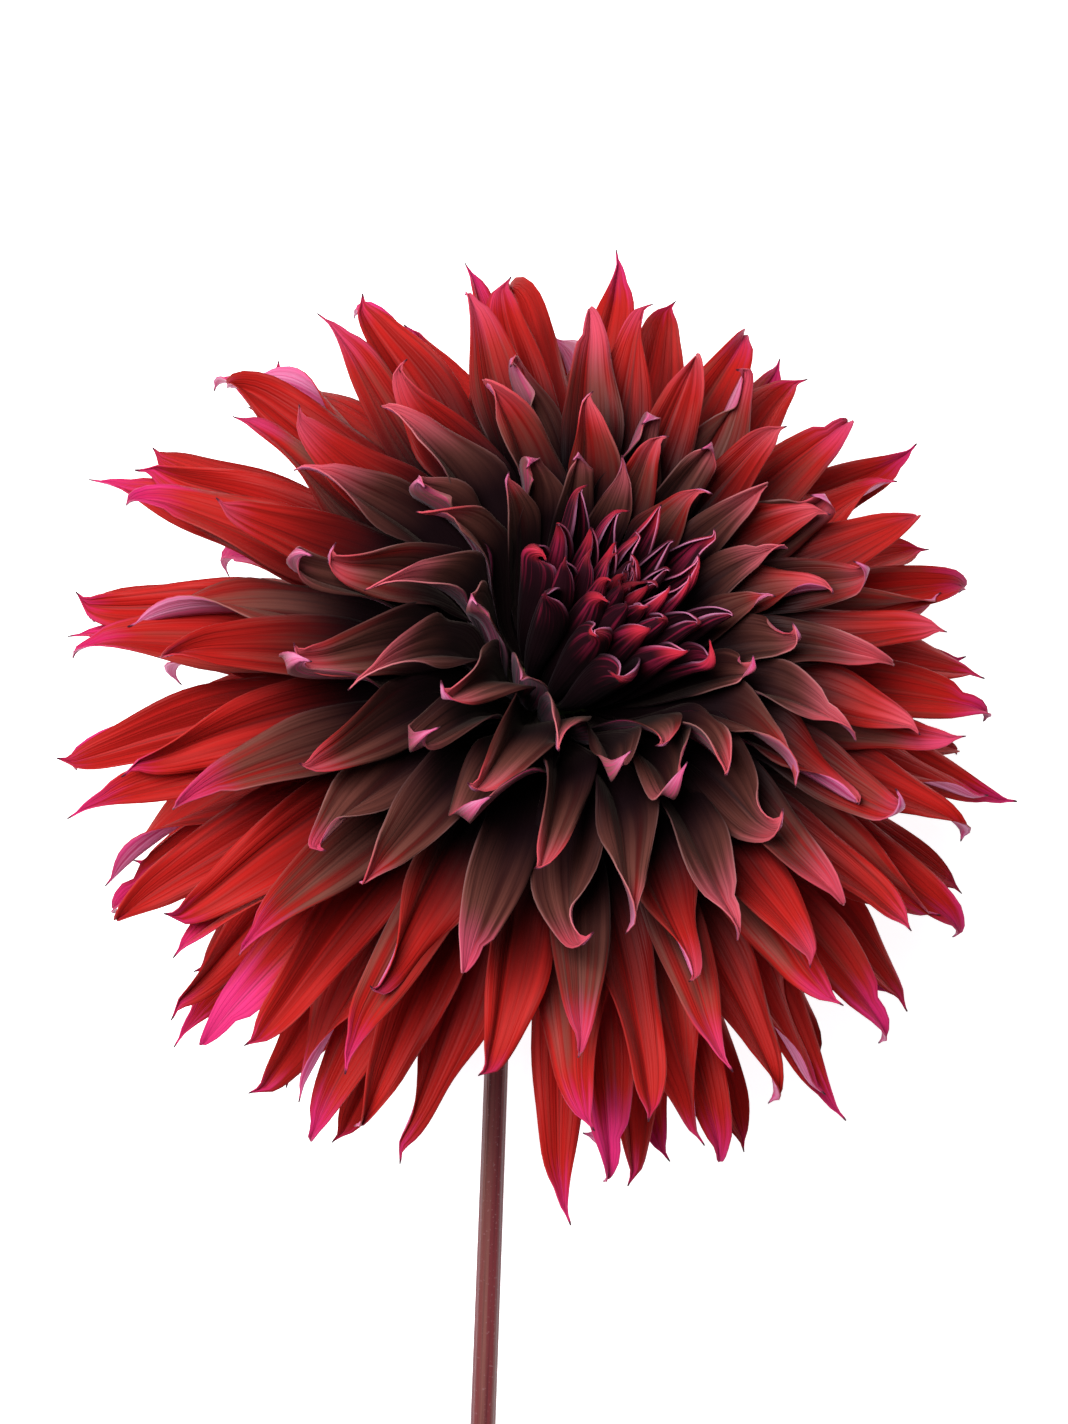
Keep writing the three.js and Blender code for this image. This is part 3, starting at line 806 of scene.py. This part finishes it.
def face_lines(face, colours, reach):
    """Adds the dark veins, ridges and keel, and the thin pale edges of the brown petals, a painted
    highlight.
    """
    face.cover(face.step(face.veins, 0.35, 0.75, 0.0, 0.16), colours.deep_brown)
    face.cover(face.fade(face.ridge, *RIDGE_LINE, 0.15), colours.root)
    face.cover(face.fade(face.edge, *KEEL_LINE, 0.4), colours.root)
    # Painted highlight: a thin pale line along the edges of the brown petals.
    pale_edge_and_highlight = face.product(
        face.step(face.edge, *EDGE_HIGHLIGHT),
        face.step(reach, 0.2, 0.75, 0.03, 0.26),
        face.step(face.streaks, 0.42, 0.6),
    )
    face.cover(pale_edge_and_highlight, colours.edge)


def petal_face(name, colours, sheen):
    """The velvety face of an open petal: brown in the bloom's middle and red outside it, with a
    magenta tip, and painted shade that turns it nearly black at the root, further up on the
    inner petals."""
    face = PetalFinish(name, colours.deep_red, FACE_VEINS)
    reach = face_ground(face, colours)
    face_tip(face, colours)
    face_lines(face, colours, reach)
    # Painted shade: the face turns nearly black towards its root, further up on the inner petals, which lie
    # deep between the others.
    shade_from_root = face.math("SUBTRACT", face.v, face.step(face.age, *OUTER_AGES, 0.28, 0.04))
    face.cover(face.fade(shade_from_root, *FACE_ROOT_SHADE), colours.root)
    face.cover(face.step(face.v, *NIB_MARK), colours.nib)
    ridges = face.product(face.step(face.ridge, *RIDGE_LINE), 0.4)
    height = face.sum(face.veins, face.product(face.streaks, 1.5), ridges)
    return face.leaf(face.bump(height, 0.0002, 0.7), 0.5, (sheen, (0.9, 0.7, 0.6)), 0.08)


def petal_reverse(colours):
    """The smoother reverse of a petal, magenta with lavender streaks that are partly its own paler
    colour and partly painted highlight, with darker lines; duller to nearly black on the brown
    petals, following the dark middle, which is partly painted shade; and painted shade that
    turns it nearly black at the root."""
    back = PetalFinish("petal_reverse", colours.reverse, REVERSE_VEINS)
    # Lavender streaks, partly the reverse's own paler colour and partly painted highlight.
    back.cover(back.step(back.streaks, 0.3, 0.7), colours.pale_reverse_and_highlight)
    # On the brown petals the reverse turns mauve and, lower down, nearly black, following the dark middle,
    # which is partly painted shade.
    back.cover(back.product(back.brown, back.step(back.v, 0.88, 1.0, 1.0, 0.15)), colours.mauve)
    back.cover(back.product(back.brown, back.fade(back.v, 0.6, 0.85)), colours.plum)
    back.cover(back.step(back.veins, 0.4, 0.7, 0.0, 0.5), colours.reverse)
    # Painted shade: the reverse turns nearly black towards its root.
    back.cover(back.fade(back.v, *REVERSE_ROOT_SHADE), colours.root)
    back.cover(back.step(back.v, *NIB_MARK), colours.nib)
    return back.leaf(back.bump(back.veins, 0.0003, 0.8), 0.38, (0.06, (0.95, 0.8, 0.92)), 0.08)


def bud_skin(colours):
    """The outside of a rolled bud: purple-black with magenta stripes and a redder tip, with pale
    edges that are partly painted highlight, and painted shade that turns its foot and the
    youngest buds in the bloom's eye nearly black.
    """
    bud = PetalFinish("bud_skin", colours.plum, BUD_VEINS)
    striped = bud.sum(bud.veins, bud.product(bud.streaks, 0.6), bud.product(bud.tone, 0.06))
    bud.cover(bud.step(striped, 0.76, 1.0), colours.stripe)
    tip = bud.sum(bud.v, bud.product(bud.tone, 0.12))
    bud.cover(bud.step(tip, 0.82, 1.02, 0.0, 0.85), colours.bud_tip)
    # Pale bud edges, partly the buds' own paler margins and partly painted highlight.
    pale_edge_and_highlight = bud.product(bud.step(bud.edge, *BUD_EDGE_AND_HIGHLIGHT), bud.step(bud.v, 0.6, 0.9, 0.0, 0.5))
    bud.cover(pale_edge_and_highlight, colours.pale_reverse_and_highlight)
    # Painted shade: the foot of each bud and the youngest buds, deep in the bloom's eye, turn nearly black.
    bud.cover(bud.fade(bud.v, *BUD_ROOT_SHADE), colours.root)
    bud.cover(bud.fade(bud.age, *EYE_SHADE_AGES, 0.7), colours.root)
    bud.cover(bud.step(bud.v, *NIB_MARK), colours.nib)
    return bud.leaf(bud.bump(bud.veins, 0.0004, 1.0), 0.4, (0.01, (1, 0.8, 0.9)), 0.06)


def green_skin(name, colours):
    """Soft green tissue in two tones with a dark grain."""
    green = Finish(name, colours.green)
    patches = green.noise(green.place(), 180.0, 4.0)
    grain = green.noise(green.place(), 900.0, 2.0)
    green.cover(green.step(patches, 0.35, 0.65), colours.pale_green)
    green.cover(green.step(grain, 0.5, 0.8, 0.0, 0.4), colours.plum)
    return green.leaf(green.bump(grain, 0.0002, 0.7), 0.55, (0.1, (1, 1, 0.9)), 0.1)


def stem_skin(colours):
    """The stem's purple-brown skin, with olive bands, dark lines along it and pale specks."""
    skin = Finish("stem_skin", colours.stem)
    u, v = skin.uv("stem")
    lines = skin.noise(skin.combine(skin.product(u, 26.0), skin.product(v, 5.0)), 1.0, 3.0)
    bands = skin.noise(skin.combine(skin.product(u, 5.0), skin.product(v, 3.0)), 1.0, 2.0)
    specks = skin.noise(skin.place(), 1600.0, 2.0)
    skin.cover(skin.step(bands, 0.38, 0.62), colours.stem_olive)
    skin.cover(skin.step(lines, 0.45, 0.75, 0.0, 0.6), colours.stem_dark)
    skin.cover(skin.step(specks, 0.62, 0.75, 0.0, 0.35), colours.stem_pale)
    height = skin.sum(lines, skin.product(specks, 0.2))
    shader = skin.node("ShaderNodeBsdfPrincipled", {
        "Base Color": skin.colour, "Normal": skin.bump(height, 0.0003, 0.8), "Roughness": 0.42,
        "Sheen Weight": 0.12, "Sheen Roughness": 0.35, "Sheen Tint": rgba((0.85, 0.8, 1.0)),
        "Specular IOR Level": 0.25,
    })
    return skin.close(shader.outputs[0])


FLOOR_GLOW = 0.96
FLOOR_PATCHES = 0.985


def floor_paint(colour):
    """The matt paint of the floor, very slightly uneven. Its glow hides most of the shadow, so that
    the flower lies on a bright ground."""
    paint = Finish("floor_paint", colour)
    clouds = paint.noise(paint.place(), 2.0, 2.0)
    paint.cover(paint.step(clouds, 0.3, 0.7), [FLOOR_PATCHES * part for part in colour])
    matt = paint.node("ShaderNodeBsdfDiffuse", {"Color": paint.colour}).outputs[0]
    glow = paint.node("ShaderNodeEmission", {"Color": paint.colour, "Strength": FLOOR_GLOW}).outputs[0]
    return paint.close(paint.node("ShaderNodeAddShader", {0: matt, 1: glow}).outputs[0])


def tint(name, description, default):
    """A setting for a colour."""
    return bpy.props.FloatVectorProperty(
        name=name, description=description, default=default, size=3, min=0, max=1, subtype="COLOR")


def number(name, description, default, **limits):
    """A setting for a number, with its limits and its unit."""
    return bpy.props.FloatProperty(name=name, description=description, default=default, **limits)


class DahliaColours(PropertyGroup):
    """The colours of the flower."""
    red: tint("Red", "Lit red of the open petals", (0.375, 0.010, 0.008))
    # Deep red lies between the streaks, and also stands as painted shade towards the root of the face.
    deep_red: tint("Deep red", "Red between the streaks", (0.13, 0.003, 0.002))
    brown: tint("Brown", "Veil of the inner petals", (0.15, 0.045, 0.034))
    deep_brown: tint("Deep brown", "Brown between the streaks", (0.044, 0.010, 0.008))
    magenta: tint("Magenta", "Tips of the outer petals", (0.54, 0.02, 0.14))
    # Partly the inner tips' own pink and partly painted highlight.
    blush_and_highlight: tint("Blush", "Pink tips of the inner petals", (0.57, 0.095, 0.135))
    reverse: tint("Reverse", "Reverse of the petals", (0.48, 0.02, 0.13))
    # Partly the reverse's own paler lavender and partly painted highlight.
    pale_reverse_and_highlight: tint("Pale reverse", "Lavender streaks of the reverse", (0.73, 0.26, 0.47))
    mauve: tint("Mauve", "Reverse of the inner petals", (0.17, 0.055, 0.055))
    plum: tint("Plum", "Dark skin of the buds", (0.022, 0.004, 0.008))
    stripe: tint("Stripe", "Magenta stripes of the buds", (0.27, 0.012, 0.048))
    bud_tip: tint("Bud tip", "Red tips of the buds", (0.48, 0.02, 0.04))
    # Painted highlight: the thin pale line along the edges of the brown petals.
    edge: tint("Edge", "Thin pale edge of a petal", (0.58, 0.30, 0.30))
    # Nearly black: as painted shade it darkens the feet of the petals and buds and the bloom's eye; it also
    # draws the dark keel and ridge lines.
    root: tint("Root", "Nearly black foot of a petal", (0.006, 0.002, 0.003))
    nib: tint("Nib", "Withered point of a petal", (0.06, 0.008, 0.02))
    green: tint("Green", "Calyx and receptacle", (0.06, 0.11, 0.025))
    pale_green: tint("Pale green", "Lighter patches of the green", (0.16, 0.22, 0.06))
    stem: tint("Stem", "Purple-brown skin of the stem", (0.13, 0.022, 0.026))
    stem_olive: tint("Stem olive", "Olive streaks of the stem", (0.15, 0.05, 0.042))
    stem_dark: tint("Stem dark", "Dark lines of the stem", (0.03, 0.008, 0.011))
    stem_pale: tint("Stem pale", "Pale specks of the stem", (0.30, 0.19, 0.20))


class PetalSettings(PropertyGroup):
    """The shape that each petal gets beside the rule of the bloom."""
    thickness: number("Thickness", "Thickness of a petal", 0.00028, min=0.0001, unit="LENGTH")
    pillow: number(
        "Pillow", "How far each half of a petal swells, as a share of its half width", 0.15, min=0, max=0.5)
    wave: number("Wave", "How far the edges wave, as a share of the half width", 0.29, min=0, max=1)
    wave_count: number("Waves", "Waves along a whole edge", 2.2, min=0, max=8)
    skew: number("Skew", "How much wider one half of a petal may be", 0.16, min=0, max=0.5)
    twist: number(
        "Twist", "How much more some open petals twist, as a share of the rule's twist", 1.8, min=0, max=4)
    pinch: number(
        "Pinch", "How much further a tip may be folded up", radians(75), min=0, max=pi, subtype="ANGLE")


class StemSettings(PropertyGroup):
    """The sizes of the stem."""
    top_radius: number("Top radius", "Radius under the bloom", 0.0024, min=0.001, unit="LENGTH")
    end_radius: number("End radius", "Radius at the cut end", 0.0033, min=0.001, unit="LENGTH")
    ribs: bpy.props.IntProperty(name="Ribs", description="Faint ribs round the stem", default=9, min=0)
    rib_height: number("Rib height", "Height of the faint ribs", 0.00006, min=0, unit="LENGTH")


class StageSettings(PropertyGroup):
    """The floor, the light and the camera."""
    floor: tint("Floor", "Paint of the floor", (0.90, 0.90, 0.90))
    sky: number("Surround", "Strength of the soft light all round", 0.15, min=0)
    key: number("Key light", "Power of the large lamp", 29, min=0, unit="POWER")
    lens: number("Lens", "Focal length in mm on a 36 mm long side", 108, min=10, subtype="DISTANCE_CAMERA")
    camera_height: number(
        "Camera height", "Height of the camera above the floor", 0.978, min=0.3, unit="LENGTH")


def make_florets(context, group, name, materials):
    """Makes every floret of one group as one piece."""
    shape = context.scene.dahlia_petals
    zone = group_zone(group)
    depth = -TABLE_PRESS if group == GROUP_ORDER[-1] else TABLE_CLEARANCE
    petals = PetalMesh()
    for floret in group_florets(group):
        traits = fitted_to_table(floret_traits(floret), depth)
        surface, along = petal_surface(traits, zone, shape)
        brown = brown_and_shade(floret, surface, along)
        petals.add(surface, along, {"brown": brown, "tone": draw(floret, "tone"), "age": traits["age"]})
    settle(petals.finish(name, materials, shape.thickness), group)


# The name of a petal's face and the weight of its velvety sheen
BROWN_FACE = ("brown_petal_face", 0.03)
RED_FACE = ("red_petal_face", 0.02)


def petal_materials(context, name, sheen):
    """The face and the reverse of the open petals, each made once and shared."""
    colours = context.scene.dahlia_colours
    face = bpy.data.materials.get(name) or petal_face(name, colours, sheen)
    return [face, bpy.data.materials.get("petal_reverse") or petal_reverse(colours)]


class DAHLIA_OT_heart_buds(Operator):
    """Make the rolled buds in the heart of the bloom"""
    bl_idname = "dahlia.heart_buds"
    bl_label = "Heart buds"

    def execute(self, context):
        make_florets(context, "heart_buds", "rolled_buds", [bud_skin(context.scene.dahlia_colours)] * 2)
        return {"FINISHED"}


class DAHLIA_OT_inner_petals(Operator):
    """Make the dark inner petals"""
    bl_idname = "dahlia.inner_petals"
    bl_label = "Inner petals"

    def execute(self, context):
        make_florets(context, "inner_petals", "inner_florets", petal_materials(context, *BROWN_FACE))
        return {"FINISHED"}


class DAHLIA_OT_outer_petals(Operator):
    """Make the long red outer petals"""
    bl_idname = "dahlia.outer_petals"
    bl_label = "Outer petals"

    def execute(self, context):
        make_florets(context, "outer_petals", "outer_florets", petal_materials(context, *RED_FACE))
        return {"FINISHED"}


class DAHLIA_OT_back_petals(Operator):
    """Make the back petals, which rest on the table"""
    bl_idname = "dahlia.back_petals"
    bl_label = "Back petals"

    def execute(self, context):
        make_florets(context, "back_petals", "back_florets", petal_materials(context, *RED_FACE))
        return {"FINISHED"}


class DAHLIA_OT_receptacle(Operator):
    """Finish the round receptacle that the florets grow from"""
    bl_idname = "dahlia.receptacle"
    bl_label = "Receptacle"

    def execute(self, context):
        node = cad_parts["receptacle"]
        node.data.materials.clear()
        node.data.materials.append(green_skin("receptacle_skin", context.scene.dahlia_colours))
        return {"FINISHED"}


def calyx_profile():
    """The cup's outline from its inner pole over the rim to its outer pole, as distances from
    the axis and along it."""
    inner = RECEPTACLE_RADIUS + SHELL_GAP
    polars = np.linspace(pi, CALYX_RIM_POLAR, CALYX_BOWL_POINTS)
    bowl = [(inner * sin(polar), inner * cos(polar)) for polar in polars]
    rim = (CALYX_DEPTH * sin(CALYX_RIM_POLAR), CALYX_DEPTH * cos(CALYX_RIM_POLAR))
    spread, height = CALYX_FOOT_RADIUS + CALYX_FOOT_SPREAD, CALYX_FOOT_HEIGHT - CALYX_DEPTH
    foot = [(spread, height), (CALYX_FOOT_RADIUS, -CALYX_DEPTH), (0, -CALYX_DEPTH)]
    return [*bowl, rim, *foot]


def bract_half_width(along):
    """Half the width of a bract, a little narrower at its foot and nearly pointed at its tip."""
    widened = between((BRACT_FOOT, 1), float(smooth(0, BRACT_WIDEST_AT, along)))
    return BRACT_WIDTH / 2 * widened * between((1, BRACT_POINT), float(smooth(BRACT_WIDEST_AT, 1, along)))


class DAHLIA_OT_calyx(Operator):
    """Make the green cup and its bracts between the back petals and the stem"""
    bl_idname = "dahlia.calyx"
    bl_label = "Calyx"

    def execute(self, context):
        bm = bmesh.new()
        profile = [bm.verts.new((distance, 0, height)) for distance, height in calyx_profile()]
        edges = [bm.edges.new(pair) for pair in zip(profile, profile[1:])]
        bmesh.ops.spin(
            bm, geom=profile + edges, cent=(0, 0, 0), axis=(0, 0, 1), angle=2 * pi,
            steps=CALYX_SIDES, use_merge=True)
        bmesh.ops.remove_doubles(bm, verts=bm.verts, dist=MERGED_WITHIN)
        bmesh.ops.recalc_face_normals(bm, faces=bm.faces)
        for vert in bm.verts:
            vert.co = Vector(placed(np.array(vert.co))) * MM
        self.bract_walls(bm)
        for face in bm.faces:
            face.smooth = True
        skin = green_skin("calyx_skin", context.scene.dahlia_colours)
        settle(piece_of(bm, "calyx_cup", [skin]), "calyx")
        return {"FINISHED"}

    def bract_walls(self, bm):
        """Adds the bracts, each a small curved leaf with a wall."""
        for bract in range(BRACTS):
            turn = STEM_TURN + (bract + 0.5) * 2 * pi / BRACTS
            traits = {
                "polar": BRACT_POLAR, "turn": turn, "length": BRACT_LENGTH, "lean": BRACT_LEAN,
                "sway": 0, "twist": 0, "hook": 0,
            }
            points, across, facing = floret_path(traits)
            columns, rows = BRACT_GRID
            grid = bmesh.ops.create_grid(bm, x_segments=columns, y_segments=rows, size=1)
            for vert in grid["verts"]:
                u, v = vert.co.x, (vert.co.y + 1) / 2
                place = round(v * PATH_STEPS)
                point = points[place] + across[place] * u * bract_half_width(v)
                vert.co = Vector(placed(point - facing[place] * BRACT_CUP * u * u)) * MM
            faces = dict.fromkeys(face for vert in grid["verts"] for face in vert.link_faces)
            bmesh.ops.solidify(bm, geom=list(faces), thickness=BRACT_WALL * MM)


def catmull_rom(points, count):
    """Points at equal distances along a smooth curve through the given ones."""
    given = np.array(points, float)
    ends = [2 * given[0] - given[1], *given, 2 * given[-1] - given[-2]]
    dense = []
    for place in range(len(given) - 1):
        p0, p1, p2, p3 = ends[place:place + 4]
        gaps = [np.linalg.norm(b - a) ** 0.5 for a, b in ((p0, p1), (p1, p2), (p2, p3))]
        start = (p1 - p0) / gaps[0] - (p2 - p0) / (gaps[0] + gaps[1]) + (p2 - p1) / gaps[1]
        end = (p2 - p1) / gaps[1] - (p3 - p1) / (gaps[1] + gaps[2]) + (p3 - p2) / gaps[2]
        start, end = start * gaps[1], end * gaps[1]
        for t in np.linspace(0, 1, CURVE_STEPS, endpoint=False):
            square, cube = t * t, t * t * t
            dense.append(
                p1 + start * t + (3 * (p2 - p1) - 2 * start - end) * square
                + (2 * (p1 - p2) + start + end) * cube)
    dense = np.array([*dense, given[-1]])
    reach = np.concatenate([[0], np.cumsum(np.linalg.norm(np.diff(dense, axis=0), axis=1))])
    wanted = np.linspace(0, reach[-1], count)
    return np.stack([np.interp(wanted, reach, dense[:, i]) for i in range(3)], axis=1)


class DAHLIA_OT_stem(Operator):
    """Make the bare stem down to its cut end"""
    bl_idname = "dahlia.stem"
    bl_label = "Stem"

    rings = 120
    sides = 36

    def execute(self, context):
        sizes = context.scene.dahlia_stem
        line = catmull_rom(self.line_points(), self.rings + 1)
        ahead = unit(np.gradient(line, axis=0))
        across = unit(np.cross(ahead, UP))
        over = np.cross(across, ahead)
        bm = bmesh.new()
        bm.loops.layers.uv.new("stem")
        grid = bmesh.ops.create_grid(bm, x_segments=self.sides, y_segments=self.rings, size=1, calc_uvs=True)
        for vert in grid["verts"]:
            bend = (vert.co.x + 1) * pi
            share = (vert.co.y + 1) / 2
            ring = round(share * self.rings)
            radius = (sizes.top_radius + (sizes.end_radius - sizes.top_radius) * share) / MM
            radius += sizes.rib_height / MM * (cos(sizes.ribs * bend) - 1)
            rim = line[ring] + radius * (sin(bend) * across[ring] + cos(bend) * over[ring])
            rim[2] = max(rim[2], 0)
            vert.co = Vector(rim) * MM
        bmesh.ops.remove_doubles(bm, verts=bm.verts, dist=MERGED_WITHIN * MM)
        bmesh.ops.holes_fill(bm, edges=[edge for edge in bm.edges if edge.is_boundary], sides=0)
        bmesh.ops.recalc_face_normals(bm, faces=bm.faces)
        for face in bm.faces:
            face.smooth = len(face.verts) == 4
        settle(piece_of(bm, "flower_stem", [stem_skin(context.scene.dahlia_colours)]), "stem")
        return {"FINISHED"}

    def line_points(self):
        """The points that the stem's middle line goes through, from the calyx to the cut end."""
        top = [CENTRE - AXIS * (CALYX_DEPTH + STEM_GAP), CENTRE - AXIS * STEM_NECK]
        return top + [FOOT + np.array(point) for point in (STEM_BEND, STEM_BACK, STEM_FALL, STEM_END)]


class DAHLIA_OT_stage(Operator):
    """Make the pale floor, the soft light and the camera"""
    bl_idname = "dahlia.stage"
    bl_label = "Stage"

    floor_size = 6.0
    key_size = 0.7
    key_place = (-0.32, 0.42, 1.15)
    camera_shift = (-0.0042, -0.0044)

    def execute(self, context):
        stage = context.scene.dahlia_stage
        self.floor(stage)
        self.light(context, stage)
        self.camera(context, stage)
        context.scene.view_settings.view_transform = "Standard"
        return {"FINISHED"}

    def floor(self, stage):
        bm = bmesh.new()
        bmesh.ops.create_grid(bm, x_segments=1, y_segments=1, size=self.floor_size / 2)
        piece_of(bm, "floor", [floor_paint(stage.floor)])

    def light(self, context, stage):
        world = bpy.data.worlds.new("studio")
        world.use_nodes = True
        surround = world.node_tree.nodes["Background"]
        surround.inputs["Color"].default_value = rgba((1, 1, 1))
        surround.inputs["Strength"].default_value = stage.sky
        context.scene.world = world
        lamp = bpy.data.lights.new("key", "AREA")
        lamp.shape = "DISK"
        lamp.size = self.key_size
        lamp.energy = stage.key
        key = new_object("key", lamp)
        key.location = self.key_place
        target = Vector(CENTRE) * MM
        key.rotation_euler = (target - key.location).to_track_quat("-Z", "Y").to_euler()

    def camera(self, context, stage):
        lens = bpy.data.cameras.new("camera")
        lens.lens = stage.lens
        camera = new_object("camera", lens)
        shift_x, shift_y = self.camera_shift
        camera.location = (CENTRE[0] * MM + shift_x, CENTRE[1] * MM + shift_y, stage.camera_height)
        context.scene.camera = camera


OPERATORS = (
    DAHLIA_OT_stage,
    DAHLIA_OT_heart_buds,
    DAHLIA_OT_inner_petals,
    DAHLIA_OT_outer_petals,
    DAHLIA_OT_back_petals,
    DAHLIA_OT_receptacle,
    DAHLIA_OT_calyx,
    DAHLIA_OT_stem,
)


class DAHLIA_PT_panel(Panel):
    """The flower's pieces, with their sizes and colours"""
    bl_idname = "DAHLIA_PT_panel"
    bl_label = "Cut dahlia"
    bl_space_type = "VIEW_3D"
    bl_region_type = "UI"
    bl_category = "Dahlia"

    def draw(self, context):
        for operator in OPERATORS:
            self.layout.operator(operator.bl_idname)
        for name in SETTINGS:
            settings = getattr(context.scene, name)
            for key in settings.bl_rna.properties.keys():
                if key not in ("rna_type", "name"):
                    self.layout.prop(settings, key)


SETTINGS = {
    "dahlia_colours": DahliaColours,
    "dahlia_petals": PetalSettings,
    "dahlia_stem": StemSettings,
    "dahlia_stage": StageSettings,
}


def register():
    for kind in (*SETTINGS.values(), *OPERATORS, DAHLIA_PT_panel):
        bpy.utils.register_class(kind)
    for name, kind in SETTINGS.items():
        setattr(bpy.types.Scene, name, bpy.props.PointerProperty(type=kind))


def unregister():
    for name in SETTINGS:
        delattr(bpy.types.Scene, name)
    for kind in reversed((*SETTINGS.values(), *OPERATORS, DAHLIA_PT_panel)):
        bpy.utils.unregister_class(kind)


def main():
    register()
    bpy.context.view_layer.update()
    bpy.ops.dahlia.stage()
    bpy.ops.dahlia.heart_buds()
    bpy.ops.dahlia.inner_petals()
    bpy.ops.dahlia.outer_petals()
    bpy.ops.dahlia.back_petals()
    bpy.ops.dahlia.receptacle()
    bpy.ops.dahlia.calyx()
    bpy.ops.dahlia.stem()


if __name__ == "__main__":
    main()
